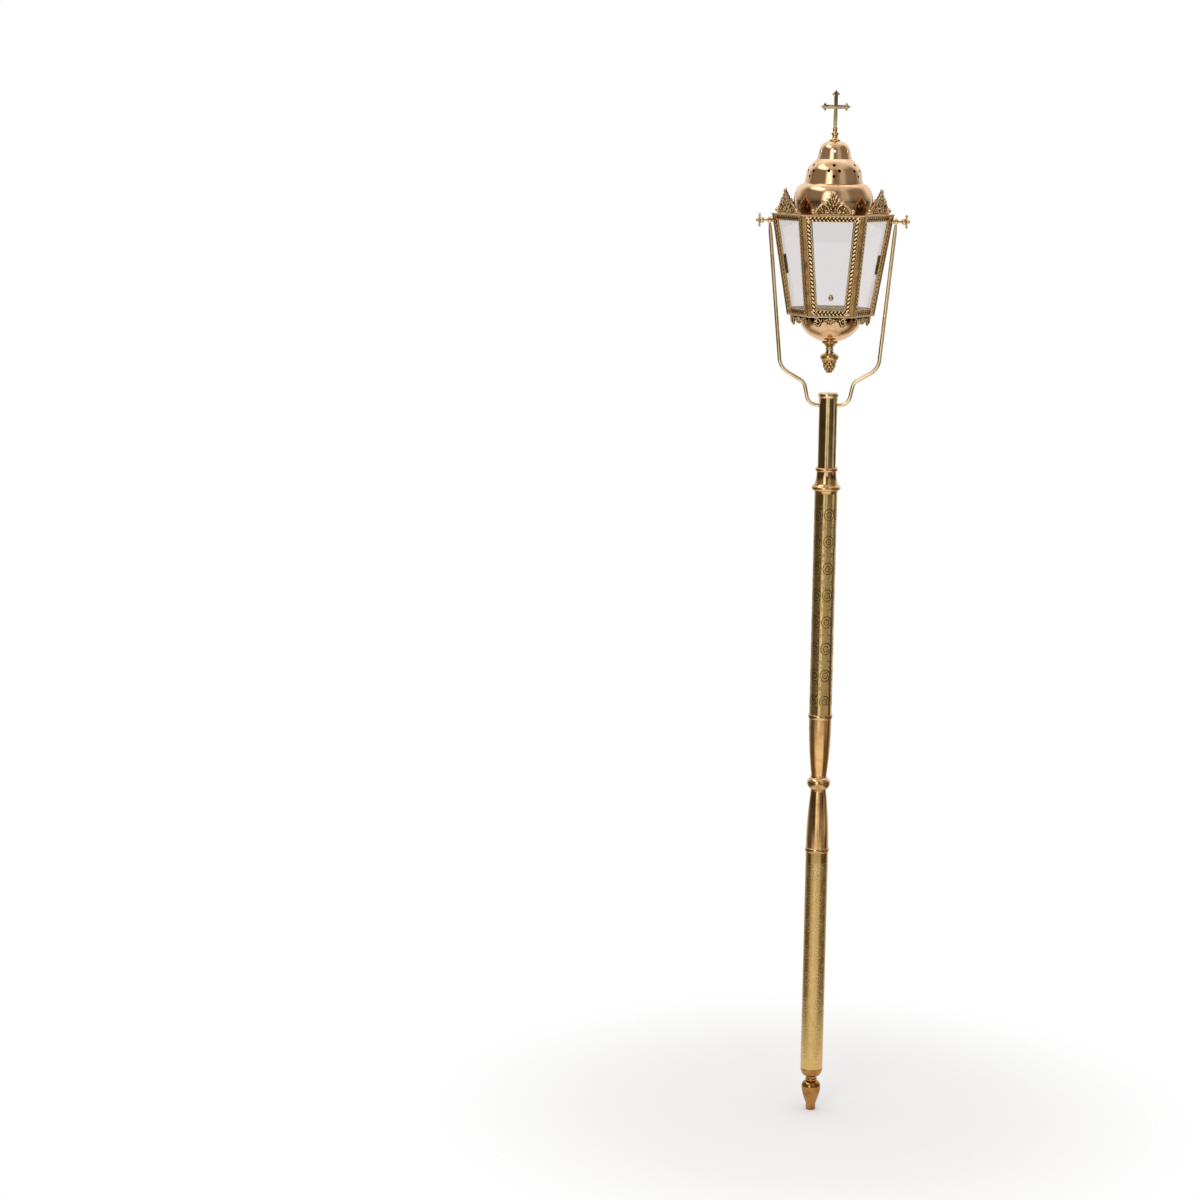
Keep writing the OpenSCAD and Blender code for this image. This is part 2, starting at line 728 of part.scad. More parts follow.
module pane_knob() {
    washer_r = pane_knob_d * 0.4;
    washer_t = 1;
    neck_r = pane_screw_d / 2 + edge;
    ball_r = pane_knob_d / 2;
    lean = asin(neck_r / ball_r);
    ball_y = pane_knob_stem + ball_r * cos(lean);
    ball = ell([0, ball_y], ball_r, ball_r, lean - 90, 90, 12);
    bore_r = pane_screw_d / 2 + fit;
    color(turned_brass) on_side(0) translate([0, pane_knob_v, pane_face])
        lathe(concat([[bore_r, 0], [washer_r, 0], [washer_r, washer_t], [neck_r, washer_t + step]], ball,
            [[0, ball_y], [bore_r, ball_y]]));
}

module pane_knob_screw() {
    head_t = 1.4;
    shank = pane_t + pane_knob_stem + pane_knob_d / 3;
    color(steel) on_side(0) translate([0, pane_knob_v, pane_back_face - head_t]) {
        cylinder(d = 2 * pane_screw_d, h = head_t);
        cylinder(d = pane_screw_d, h = head_t + shank);
    }
}

// Leaf of a clip on the inner side of a pane, towards the corner on the s side
clip_depth = frame_t + pane_t;

module clip_leaf(s) {
    v0 = (side_h - clip_h) / 2;
    v1 = v0 + clip_h;
    reach = (clip_depth + clip_t) * tan_side;
    translate([0, 0, -clip_depth - clip_t]) linear_extrude(clip_t)
        polygon([[s * (half(v0) - reach), v0], [s * (half(v1) - reach), v1],
            [s * (half(v1) - clip_leaf_w), v1], [s * (half(v0) - clip_leaf_w), v0]]);
}

module glass_clip(i) {
    mid_r = (base_r + rim_r) / 2;
    leaf_r = mid_r - (clip_depth + clip_t) / cos_side;
    post_in_r = mid_r - post_t / cos_side - clip_pin_d / 2 * tan_side;
    mid_z = (base_z + rim_z) / 2;
    union() {
        on_side(i) clip_leaf(1);
        on_side(i + 1) clip_leaf(-1);
        rotate([0, 0, turn * (i - 1)]) translate([leaf_r - clip_t, 0, mid_z]) rotate([0, 90, 0])
            cylinder(d = clip_pin_d, h = post_in_r - leaf_r + clip_t);
    }
}

// Clips at the left and right corners only
module glass_clips() color(turned_brass) for (i = [1, 4]) glass_clip(i);

module floor_plate() {
    color(turned_brass) translate([0, 0, base_z]) difference() {
        cylinder(r = base_r + lip, h = plate_t, $fn = sides);
        translate([0, 0, -over]) cylinder(d = candle_d + 2 * (cup_wall + fit), h = plate_t + 2 * over);
    }
}

module roof_plate() {
    slot_half = half(side_h) - pane_inside + run_gap;
    slot_h = 10 * plate_t;
    hole_r = dome_base_r - spun_wall - run_gap;
    color(turned_brass) difference() {
        translate([0, 0, ceiling_z]) cylinder(r = rim_r + lip, h = plate_t, $fn = sides);
        translate([0, 0, ceiling_z - over]) cylinder(r = hole_r, h = plate_t + 2 * over);
        on_side(0) translate([-slot_half, side_h - slot_h / 2, pane_back_face - run_gap])
            cube([2 * slot_half, slot_h, pane_t + 2 * run_gap]);
    }
}

// Cast ornament

// Outline of a crest, from its foot at y = 0
module crest_outline() {
    a = (crest_w - crest_ball_d) / 2;
    h = crest_h;
    right = concat([[a, 0]], bez([a, h * 0.09], [a * 0.72, h * 0.38], [a * 0.56, h * 0.41], 5),
        bez([a * 0.46, h * 0.44], [a * 0.38, h * 0.5], [a * 0.37, h * 0.62], 4),
        bez([a * 0.27, h * 0.66], [a * 0.24, h * 0.92], [0, h], 5));
    difference() {
        union() {
            polygon(tidy(concat(right, flipped(right))));
            for (s = [-1, 1]) translate([s * a, crest_ball_d * 0.7]) circle(d = crest_ball_d);
        }
        for (s = [-1, 1]) {
            translate([s * a * 0.38, h * 0.25]) circle(d = h * 0.16);
            translate([s * a * 0.72, h * 0.12]) circle(d = h * 0.1);
        }
        translate([0, h * 0.42]) circle(d = h * 0.11);
    }
}

module crest(i) {
    color(cast_brass) difference() {
        on_side(i) translate([0, side_h - over, -crest_t]) linear_extrude(crest_t) union() {
            translate([0, over]) crest_outline();
            translate([-crest_w / 2 + crest_ball_d / 2, 0]) square([crest_w - crest_ball_d, over + edge]);
        }
        slice(rim_z - block, rim_z);
    }
}

module crest_front() crest(0);
module crest_front_right() crest(1);
module crest_back_right() crest(2);
module crest_back() crest(3);
module crest_back_left() crest(4);
module crest_front_left() crest(5);

// Outline of an apron, hanging from y = 0: a broad middle shell and two drooping leaves
module apron_outline() {
    a = apron_w / 2;
    h = apron_h;
    shell = ell([0, 0], a * 0.45, h * 0.75, -90, -24, 8);
    leaf = concat(bez([a * 0.48, -h * 0.5], [a * 0.5, -h * 0.97], [a * 0.68, -h], 5),
        bez([a * 0.88, -h], [a * 0.94, -h * 0.62], [a, -h * 0.3], 5));
    right = concat(shell, leaf, [[a, edge]]);
    polygon(tidy(concat(right, flipped(right))));
}

module aprons() {
    color(cast_brass) difference() {
        for (i = [0:sides - 1])
            on_side(i) translate([0, 0, -apron_t]) linear_extrude(apron_t) apron_outline();
        slice(base_z, base_z + block);
    }
}

// Roof

module vent(angle, z) {
    rotate([0, 0, angle]) translate([0, 0, z]) rotate([90, 0, 0]) cylinder(d = vent_d, h = block);
}

module roof_dome() {
    dome_round = 2;
    wall = bez([dome_base_r, rim_z], [dome_r, rim_z + dome_wide_h / 2], [dome_r, rim_z + dome_wide_h], 4);
    shoulder = bez([dome_r, rim_z + dome_wide_h], [dome_r - dome_round, middle_z - dome_round],
        [middle_r + step, middle_z], 10);
    color(spun_brass) spun(concat(wall, shoulder), middle_r - tier_ledge);
}

module roof_middle() {
    shoulder_z = middle_z + middle_shoulder_h;
    bulge = [middle_shoulder_r - (middle_r - middle_shoulder_r) / 2, shoulder_z + middle_shoulder_h * 0.4];
    shoulder = bez([middle_shoulder_r, shoulder_z], bulge, [top_r + step, top_z], 10);
    vent_z = shoulder_z + vent_d / 4;
    spread = atan(vent_spread / middle_shoulder_r);
    color(spun_brass) difference() {
        spun(concat([[middle_r, middle_z]], shoulder), top_r - tier_ledge);
        for (i = [0:sides - 1]) {
            for (s = [-1, 1]) {
                vent(turn * i + s * spread, vent_z);
                vent(turn * i, vent_z + s * vent_spread);
            }
        }
    }
}

module roof_cap() {
    shoulder_z = top_z + top_shoulder_h;
    bulge = [2 * top_shoulder_r - top_r, cross_base_z - 2 * spun_wall];
    shoulder = bez([top_shoulder_r, shoulder_z], bulge, [cross_flange_d / 2 + step, cross_base_z], 10);
    color(spun_brass) difference() {
        spun(concat([[top_r, top_z]], shoulder), cross_stud_d / 2 + fit);
        for (i = [0:sides - 1]) vent(turn * i, shoulder_z - vent_d / 4);
    }
}

roof_nut_h = 4;
roof_nut_af = 2 * cross_stud_d - 2;

module roof_nut() {
    color(steel) translate([0, 0, cross_base_z - spun_wall - roof_nut_h])
        hex_nut(roof_nut_af, cross_stud_d + 2 * fit, roof_nut_h);
}

module cross_base() {
    flange_r = cross_flange_d / 2;
    waist_r = cross_waist_d / 2;
    stud_r = cross_stud_d / 2;
    stud_z = -spun_wall - roof_nut_h - over;
    bead_z = cross_flange_h + (cross_base_h - cross_flange_h) * 0.45;
    bead_h = (cross_base_h - cross_flange_h) * 0.3;
    bead = ell([waist_r, bead_z], cross_bead_d / 2 - waist_r, bead_h / 2, -90, 90, 8);
    flare = bez([flange_r - edge, cross_flange_h * 0.6], [waist_r, cross_flange_h],
        [waist_r, bead_z - bead_h / 2], 5);
    bore_r = cross_pin_d / 2 + fit;
    bore_z = cross_base_h - cross_bar - fit;
    color(turned_brass) translate([0, 0, cross_base_z])
        lathe(concat([[0, stud_z], [stud_r, stud_z], [stud_r, 0], [flange_r, 0],
            [flange_r, cross_flange_h * 0.4]], flare, bead, [[waist_r * 0.8, bead_z + bead_h],
            [waist_r, cross_base_h - edge], [waist_r - edge / 2, cross_base_h],
            [bore_r, cross_base_h], [bore_r, bore_z], [0, bore_z]]));
}

// Bud at the end of a cross arm, its inner point on the arm
module bud() {
    knob_d = cross_bud * 0.24;
    rotate(45) square(cross_bud * 0.92 / sqrt(2), center = true);
    for (a = [0, 90, 180]) rotate(a) translate([(cross_bud - knob_d) / 2, 0]) circle(d = knob_d);
}

module cross() {
    reach = (cross_w - cross_bud) / 2;
    top_reach = cross_h - cross_bud / 2;
    color(turned_brass) translate([0, 0, cross_z]) {
        translate([0, cross_t / 2, 0]) rotate([90, 0, 0]) linear_extrude(cross_t) union() {
            translate([-cross_bar / 2, 0]) square([cross_bar, top_reach]);
            translate([-reach, cross_arm_h - cross_bar / 2]) square([2 * reach, cross_bar]);
            for (s = [-1, 1]) translate([s * reach, cross_arm_h]) rotate(-90 * s) bud();
            translate([0, top_reach]) bud();
        }
        translate([0, 0, -cross_bar]) cylinder(d = cross_pin_d, h = cross_bar + over);
    }
}

// Bowl and finial

module bowl() {
    lean = acos(bowl_flat_r / bowl_r);
    outer = ell([0, base_z], bowl_r, bowl_depth, -lean, 0, 18);
    inner = ell([0, base_z], bowl_r - spun_wall, bowl_depth - spun_wall, 0, -lean, 18);
    hole_r = finial_stud_d / 2 + fit;
    flange_r = bowl_r + bowl_flange;
    inner_flat_z = flat_z + spun_wall;
    color(spun_brass)
        lathe(concat([[hole_r, flat_z]], [for (p = outer) [p.x, min(p.y, base_z - spun_wall)]],
            [[flange_r, base_z - spun_wall], [flange_r, base_z]],
            [for (p = inner) [p.x, max(p.y, inner_flat_z)]], [[hole_r, inner_flat_z]]));
}

module bowl_nut() {
    color(steel) translate([0, 0, flat_z + spun_wall])
        hex_nut(bowl_nut_af, finial_stud_d + 2 * fit, bowl_nut_h);
}

module candle_cup() {
    inner_r = candle_d / 2;
    outer_r = inner_r + cup_wall;
    rim_out = outer_r + cup_rim;
    bottom = -plate_t - cup_depth;
    color(turned_brass) translate([0, 0, floor_z])
        lathe([[0, bottom], [outer_r, bottom], [outer_r, 0], [rim_out, 0], [rim_out, cup_wall],
            [inner_r, cup_wall], [inner_r, bottom + cup_wall], [0, bottom + cup_wall]]);
}

// Radius and height of the foot of the finial's neck, where it meets the pinecone
neck_foot_proud = 1.4;
neck_foot_r = neck_waist_r + neck_foot_proud;
neck_foot_h = 1.6;

module finial_neck() {
    hole_r = finial_stud_d / 2 + fit;
    cone = bez([neck_flange_r - edge, neck_l - neck_flange_h],
        [neck_waist_r + neck_flange_h, neck_l * 0.62], [neck_waist_r, neck_l * 0.45], 8);
    color(turned_brass) translate([0, 0, neck_z])
        lathe(concat([[hole_r, 0], [neck_foot_r, 0], [neck_foot_r, neck_foot_h]], reversed(cone),
            [[neck_flange_r, neck_l - neck_flange_h], [neck_flange_r, neck_l], [hole_r, neck_l]]));
}

finial_stud_top = flat_z + spun_wall + bowl_nut_h + over;
finial_stud_z = neck_z - cone_collar_h;

module finial_stud() {
    color(steel) translate([0, 0, finial_stud_z])
        cylinder(d = finial_stud_d, h = finial_stud_top - finial_stud_z);
}

module pinecone() {
    hole_r = finial_stud_d / 2 + fit;
    hole_z = finial_stud_z - over;
    core_r = cone_r - over;
    collar_mid = neck_z - cone_collar_h * 0.55;
    collar = ell([core_r, collar_mid], cone_collar_r - core_r, cone_collar_h * 0.42, -80, 60, 8);
    tip_r = 2;
    tip_bulge = 3;
    body = concat([[0, tip_z]], bez([tip_r, tip_z], [cone_r * 0.78, tip_z + tip_bulge],
        [cone_r * 0.86, tip_z + cone_l * 0.38], 8));
    color(cast_brass)
        lathe(concat(body, [[cone_r, neck_z - cone_collar_h]], collar,
            [[neck_foot_r, neck_z], [hole_r, neck_z], [hole_r, hole_z], [0, hole_z]]));
}

// Pivots

module right_bush() {
    start = bush_end_x - bush_l;
    bore_r = pivot_r + fit;
    translate([start, 0, pivot_z]) rotate([0, 90, 0])
        lathe([[bore_r, 0], [bush_collar_d / 2, 0], [bush_collar_d / 2, bush_collar_t],
            [bush_d / 2, bush_collar_t], [bush_d / 2, bush_l], [bore_r, bush_l]]);
}

module pivot_bushes() {
    color(turned_brass) {
        right_bush();
        mirror([1, 0, 0]) right_bush();
    }
}

// Thumbscrew of the right side: stem, bell, end ball and cross bar
module thumbscrew() {
    stem_l = thumb_x - bush_end_x + bush_l - over;
    collar_l = 1.5;
    collar_proud = 1.4;
    collar_r = pivot_r + collar_proud;
    stalk_l = 4.5;
    ball_r = thumb_ball_d / 2;
    ball_z = thumb_l - ball_r;
    bell_z = collar_l + stalk_l;
    bell_l = ball_z - ball_r * 0.8 - bell_z;
    bell = ell([pivot_r, bell_z + bell_l / 2], bell_d / 2 - pivot_r, bell_l / 2, -90, 70, 10);
    ball = ell([0, ball_z], ball_r, ball_r, -52, 90, 12);
    bar_z = bell_z + bell_l;
    color(turned_brass) translate([thumb_x, 0, pivot_z]) rotate([0, 90, 0]) {
        lathe(concat([[0, -stem_l], [pivot_r, -stem_l], [pivot_r, 0], [collar_r, 0], [collar_r, collar_l],
            [pivot_r, collar_l]], bell, ball));
        translate([-bar_l / 2 + bar_tip_d / 2, 0, bar_z]) rotate([0, 90, 0])
            cylinder(d = bar_d, h = bar_l - bar_tip_d);
        for (s = [-1, 1]) translate([s * (bar_l - bar_tip_d) / 2, 0, bar_z]) sphere(d = bar_tip_d);
    }
}

module thumbscrew_right() thumbscrew();
module thumbscrew_left() mirror([1, 0, 0]) thumbscrew();

foot_knob();
foot_shoulder();
lower_tube();
lower_ring();
lower_taper();
ball_knop();
upper_taper();
upper_ring();
upper_tube();
tie_rod();
tie_nuts();
socket_collar();
head_tube();
head_cap();
yoke_block();
yoke_grub_screws();
yoke_arm_left();
yoke_arm_right();
floor_plate();
roof_plate();
corner_posts();
glass_clips();
frame_front();
frame_front_right();
frame_back_right();
frame_back();
frame_back_left();
frame_front_left();
pane_front();
pane_front_right();
pane_back_right();
pane_back();
pane_back_left();
pane_front_left();
pane_knob();
pane_knob_screw();
crest_front();
crest_front_right();
crest_back_right();
crest_back();
crest_back_left();
crest_front_left();
aprons();
roof_dome();
roof_middle();
roof_cap();
roof_nut();
cross_base();
cross();
bowl();
bowl_nut();
candle_cup();
finial_neck();
finial_stud();
pinecone();
pivot_bushes();
thumbscrew_left();
thumbscrew_right();
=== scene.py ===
import math

import bmesh
import bpy
from mathutils import Matrix, Vector


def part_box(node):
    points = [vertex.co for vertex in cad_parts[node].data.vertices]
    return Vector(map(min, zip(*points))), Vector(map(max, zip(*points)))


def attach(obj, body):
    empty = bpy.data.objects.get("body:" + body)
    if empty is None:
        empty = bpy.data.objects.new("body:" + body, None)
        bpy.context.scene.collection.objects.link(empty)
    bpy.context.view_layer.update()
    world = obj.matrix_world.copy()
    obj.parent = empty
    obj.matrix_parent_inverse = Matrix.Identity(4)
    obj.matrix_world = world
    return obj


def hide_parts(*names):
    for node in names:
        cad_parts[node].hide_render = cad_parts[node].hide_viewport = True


# Processional lantern in brass. Lengths are millimetres until a piece is finished.
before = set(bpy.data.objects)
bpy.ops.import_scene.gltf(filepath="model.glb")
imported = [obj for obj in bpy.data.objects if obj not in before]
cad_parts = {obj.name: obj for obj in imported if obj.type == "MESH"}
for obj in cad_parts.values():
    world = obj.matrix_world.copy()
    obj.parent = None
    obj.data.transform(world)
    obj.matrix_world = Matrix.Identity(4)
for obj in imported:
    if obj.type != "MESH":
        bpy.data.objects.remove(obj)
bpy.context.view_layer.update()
scene = bpy.context.scene
scene.view_settings.view_transform = "Standard"
toMetres = Matrix.Scale(0.001, 4)


def linear(hexColour):
    parts = [int(hexColour[i:i + 2], 16) / 255 for i in (1, 3, 5)]
    return [p / 12.92 if p <= 0.04045 else ((p + 0.055) / 1.055) ** 2.4 for p in parts] + [1.0]


def addNode(tree, kind, inputs={}, **settings):
    node = tree.nodes.new(kind)
    for name, value in settings.items():
        setattr(node, name, value)
    for key, value in inputs.items():
        if isinstance(value, bpy.types.NodeSocket):
            tree.links.new(value, node.inputs[key])
        else:
            node.inputs[key].default_value = value
    return node


def reckon(tree, operation, *values):
    return addNode(tree, "ShaderNodeMath", dict(enumerate(values)), operation=operation).outputs[0]


def remap(tree, value, fromLow=0.0, fromHigh=1.0, low=0.0, high=1.0, kind="LINEAR"):
    ends = {"Value": value, "From Min": fromLow, "From Max": fromHigh, "To Min": low, "To Max": high}
    return addNode(tree, "ShaderNodeMapRange", ends, interpolation_type=kind).outputs["Result"]


def blend(tree, share, first, second):
    return addNode(tree, "ShaderNodeMix", {0: share, 6: first, 7: second}, data_type="RGBA").outputs[2]


def noise(tree, place, size, detail):
    # mottling, its size in millimetres
    return addNode(tree, "ShaderNodeTexNoise", {"Vector": place, "Scale": 1000 / size, "Detail": detail})


def newMaterial(name):
    material = bpy.data.materials.new(name)
    material.use_nodes = True
    tree = material.node_tree
    tree.nodes.clear()
    return material, tree, addNode(tree, "ShaderNodeTexCoord").outputs["Object"]


def coat(tree, inputs):
    shader = addNode(tree, "ShaderNodeBsdfPrincipled", inputs)
    addNode(tree, "ShaderNodeOutputMaterial", {"Surface": shader.outputs["BSDF"]})


def polishedBrass(name, bright, dull, roughness, ringPitch, ringDepth, cloudSize=14, metallic=1.0):
    # polished on a lathe or a wheel: warm mirror, faint turning lines, thin uneven tarnish
    material, tree, place = newMaterial(name)
    tint = remap(tree, noise(tree, place, cloudSize, 4.0).outputs["Fac"], 0.42, 0.72)
    grain = noise(tree, place, 3.0, 3.0)
    rings = addNode(tree, "ShaderNodeTexWave", {"Vector": place, "Scale": 100 * math.pi / ringPitch,
                                                "Distortion": 1.2, "Detail": 2.0},
                    wave_type="BANDS", bands_direction="Z")
    bump = addNode(tree, "ShaderNodeBump", {"Height": rings.outputs["Fac"], "Strength": ringDepth,
                                            "Distance": 0.0002})
    coat(tree, {"Base Color": blend(tree, tint, linear(bright), linear(dull)), "Metallic": metallic,
                "Roughness": remap(tree, grain.outputs["Fac"], 0, 1, roughness * 0.7, roughness * 1.35),
                "Normal": bump.outputs["Normal"]})
    return material


def castBrass(name, bright, dull, roughness, grit):
    # cast and brushed: soft mirror, or a dark ground that is painted shade, grainy, brown tarnish in small
    # clouds
    material, tree, place = newMaterial(name)
    cloud = noise(tree, place, 2.2, 5.0).outputs["Fac"]
    bump = addNode(tree, "ShaderNodeBump", {"Height": cloud, "Strength": grit, "Distance": 0.0003})
    coat(tree, {"Base Color": blend(tree, remap(tree, cloud, 0.38, 0.66), linear(bright), linear(dull)),
                "Metallic": 1.0, "Roughness": roughness, "Normal": bump.outputs["Normal"]})
    return material


# spun, turned and drawn brass, from copper-warm roof and bowl to pale knobs and rods
spunBrass = polishedBrass("spunBrass", "#f0cda8", "#e0b88a", 0.09, 0.9, 0.1)
taperBrass = polishedBrass("spunTaperBrass", "#edc187", "#d9a768", 0.07, 0.9, 0.07)
turnedBrass = polishedBrass("turnedBrass", "#e6c08c", "#c2945a", 0.07, 0.7, 0.04)
lipBrass = polishedBrass("polishedLipBrass", "#f2d8ac", "#d8b27c", 0.1, 0.7, 0.04)
# the foot and its shoulder take a darker brass: a painted dark reflection
darkReflectionFootBrass = polishedBrass("turnedFootBrassPaintedDarkReflection", "#b9864c", "#8a5c2b", 0.07, 0.7, 0.04)
knobBrass = polishedBrass("turnedKnobBrass", "#ecd4ab", "#b8935c", 0.05, 0.7, 0.03)
rodBrass = polishedBrass("drawnRodBrass", "#f6e2ba", "#d8b884", 0.06, 1.4, 0.03, 30)
bowlBrass = polishedBrass("spunBowlBrass", "#ecc69a", "#dcae7c", 0.07, 0.9, 0.08)
headBrass = polishedBrass("drawnTubeBrass", "#e2c894", "#c4a166", 0.05, 1.1, 0.02)
# dull floor and corner strips, black soot inside the roof, and the same black under the plates as painted
# shade
satinBrass = polishedBrass("waxedSatinBrass", "#cbb268", "#ab8f48", 0.55, 1.1, 0.04, 14, 0.4)
# corner posts and yoke block: a darker brass, painted shade at the lantern's corners
dullShadedStripBrass = polishedBrass("dullShadedStripBrass", "#a5814b", "#6f5329", 0.24, 1.6, 0.05, 9)
sootAndShadeBrass = castBrass("sootAndShadeBrass", "#3a2a18", "#1c140c", 0.6, 0.2)
# castings: bright raised work over darker grounds, the grounds darkened as painted shade
crossBrass = castBrass("castCrossBrass", "#c8b794", "#8a7956", 0.1, 0.1)
reliefBrass = castBrass("castBrassRelief", "#f8dcae", "#dcb57c", 0.13, 0.12)
finialBrass = castBrass("castBrassFinial", "#efcb92", "#b98f56", 0.12, 0.15)
# sunk, ground and crest-ground brass are darkened as painted shade in the hollows of the castings
shadedSunkBrass = castBrass("castBrassSunkPaintedShade", "#3a2812", "#1f1407", 0.5, 0.3)
shadedGroundBrass = castBrass("castBrassGroundPaintedShade", "#452f12", "#271909", 0.4, 0.3)
crestBrass = castBrass("castBrassCrest", "#ffe4b8", "#bb9158", 0.08, 0.12)
shadedCrestGround = castBrass("castBrassCrestGroundPaintedShade", "#76562b", "#452e14", 0.34, 0.3)
backBrass = castBrass("castBrassBack", "#e6cb8a", "#bfa05c", 0.42, 0.25)
clipBrass = castBrass("tarnishedClipBrass", "#3b2d1a", "#241a0e", 0.5, 0.2)
print("brass materials made")


def clearGlass(name, tint):
    # soda-lime sheet glass: clear, a little grey through its thickness, flat with a faint wave
    material, tree, place = newMaterial(name)
    bump = addNode(tree, "ShaderNodeBump", {"Height": noise(tree, place, 60, 1.0).outputs["Fac"],
                                            "Strength": 0.05, "Distance": 0.0005})
    coat(tree, {"Base Color": linear(tint), "Roughness": 0.02, "IOR": 1.5, "Transmission Weight": 1.0,
                "Normal": bump.outputs["Normal"]})
    return material


def plainSteel(name):
    # zinc-plated screws and nuts: grey, fine cross grain
    material, tree, place = newMaterial(name)
    grain = noise(tree, place, 0.8, 3.0)
    coat(tree, {"Base Color": linear("#a9abae"), "Metallic": 1.0,
                "Roughness": remap(tree, grain.outputs["Fac"], 0, 1, 0.25, 0.45)})
    return material


sheetGlass = clearGlass("sheetGlass", "#fdfbfb")
handledGlass = clearGlass("handledSheetGlass", "#f5f4f6")
platedSteel = plainSteel("platedSteel")

# engraved medallions round the two staff tubes, six columns in half drop, a small one where four of them meet
upperChasing = {"radius": 17.5, "columns": 6, "turn": 0.333, "period": 41.6, "lift": 0.11,
                "medallion": (8.4, 9.6), "small": (0.45, 0.3), "rings": 4.3, "line": 0.3, "soft": 0.12,
                "wander": 1.0, "matt": 0.1, "stipple": 1.7}
lowerChasing = {"radius": 17.5, "columns": 6, "turn": 0.333, "period": 42.9, "lift": -0.065,
                "medallion": (8.0, 10.5), "small": (0.45, 0.3), "rings": 4.3, "line": 0.28, "soft": 0.12,
                "wander": 1.0, "matt": 0.2, "stipple": 1.5}


def engravedBrass(name, bright, dull, line, lineShare, low, high, chasing):
    # drawn tube with hand-cut lines: mirror between the cuts, matt in them, plain bands at both ends
    material, tree, place = newMaterial(name)
    metal = blend(tree, noise(tree, place, 14, 4.0).outputs["Fac"], linear(bright), linear(dull))
    stir = addNode(tree, "ShaderNodeVectorMath", {0: noise(tree, place, 5, 2.0).outputs["Color"],
                                                  1: (0.5, 0.5, 0.5)}, operation="SUBTRACT")
    wander = [0.001 * chasing["wander"]] * 3
    moved = addNode(tree, "ShaderNodeVectorMath", {0: stir.outputs["Vector"], 1: wander, 2: place},
                    operation="MULTIPLY_ADD")
    spot = addNode(tree, "ShaderNodeSeparateXYZ", {"Vector": moved.outputs["Vector"]})
    angle = reckon(tree, "ARCTAN2", spot.outputs["X"], spot.outputs["Y"])
    around = reckon(tree, "MULTIPLY_ADD", angle, chasing["columns"] / (2 * math.pi), chasing["turn"])
    up = reckon(tree, "MULTIPLY_ADD", spot.outputs["Z"], 1000 / chasing["period"], chasing["lift"])
    wide, tall = 2 * math.pi * chasing["radius"] / chasing["columns"], chasing["period"]
    small = [size * share for size, share in zip(chasing["medallion"], chasing["small"])]
    lines = 0.0
    for shift, reach in ((0.0, chasing["medallion"]), (0.5, small)):
        square = 0.0
        for value, length, half in ((around, wide, reach[0]), (up, tall, reach[1])):
            cell = reckon(tree, "WRAP", reckon(tree, "ADD", value, shift), 0.5, -0.5)
            part = reckon(tree, "POWER", reckon(tree, "MULTIPLY", cell, length / half), 2.0)
            square = reckon(tree, "ADD", part, square)
        out = reckon(tree, "SQRT", square)
        near = reckon(tree, "PINGPONG", reckon(tree, "MULTIPLY", out, chasing["rings"]), 1.0)
        cut = remap(tree, near, chasing["line"] + chasing["soft"], chasing["line"] - chasing["soft"],
                    kind="SMOOTHSTEP")
        mask = reckon(tree, "MULTIPLY", cut, reckon(tree, "LESS_THAN", out, 1.0))
        lines = reckon(tree, "MAXIMUM", mask, lines)
    pricks = noise(tree, place, chasing["stipple"], 1.0)
    lines = reckon(tree, "MAXIMUM", lines, remap(tree, pricks.outputs["Fac"], 0.58, 0.68, 0, 0.7))
    above = reckon(tree, "GREATER_THAN", spot.outputs["Z"], 0.001 * low)
    below = reckon(tree, "LESS_THAN", spot.outputs["Z"], 0.001 * high)
    band = reckon(tree, "MULTIPLY", above, below)
    shown = reckon(tree, "MULTIPLY", lines, band)
    matt = remap(tree, band, 0, 1, 0.08, chasing["matt"])
    bump = addNode(tree, "ShaderNodeBump", {"Height": shown, "Strength": 0.4, "Distance": 0.0003},
                   invert=True)
    coat(tree, {"Base Color": blend(tree, reckon(tree, "MULTIPLY", shown, lineShare), metal, linear(line)),
                "Metallic": 1.0, "Roughness": reckon(tree, "MULTIPLY_ADD", shown, 0.08, matt),
                "Normal": bump.outputs["Normal"]})
    return material


def heights(node):
    low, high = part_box(node)
    return low.z * 1000, high.z * 1000


# plain band at each end of a tube
endBand = 16
tubeLow, tubeHigh = heights("lower_tube")
lowerTubeBrass = engravedBrass("engravedPaleBrass", "#e4c283", "#cfa861", "#f3dcaa", 0.35, tubeLow + endBand,
                               tubeHigh - endBand, lowerChasing)
tubeLow, tubeHigh = heights("upper_tube")
upperTubeBrass = engravedBrass("engravedOliveBrass", "#ecce90", "#c8a260", "#2c1f0c", 0.85, tubeLow + endBand,
                               tubeHigh - endBand, upperChasing)
print("tube materials made")


def arc(centre, radiusX, radiusZ, start, end, count=16):
    angles = [math.radians(start + (end - start) * i / count) for i in range(count + 1)]
    return [(centre[0] + radiusX * math.cos(t), centre[1] + radiusZ * math.sin(t)) for t in angles]


def curve(a, b, c, count=16):
    steps = [i / count for i in range(count + 1)]
    return [tuple((1 - t) ** 2 * p + 2 * t * (1 - t) * q + t * t * r for p, q, r in zip(a, b, c))
            for t in steps]


def turned(bm, profile, steps=96, closed=False, matrix=Matrix()):
    verts = [bm.verts.new((r, 0, z)) for r, z in profile]
    pairs = list(zip(verts, verts[1:])) + ([(verts[-1], verts[0])] if closed else [])
    edges = [bm.edges.new(pair) for pair in pairs]
    before = set(bm.verts) - set(verts)
    bmesh.ops.spin(bm, geom=verts + edges, cent=(0, 0, 0), axis=(0, 0, 1), angle=2 * math.pi, steps=steps,
                   use_merge=True)
    made = [v for v in bm.verts if v not in before]
    bmesh.ops.transform(bm, matrix=matrix, verts=made)
    bmesh.ops.remove_doubles(bm, verts=made, dist=0.001)


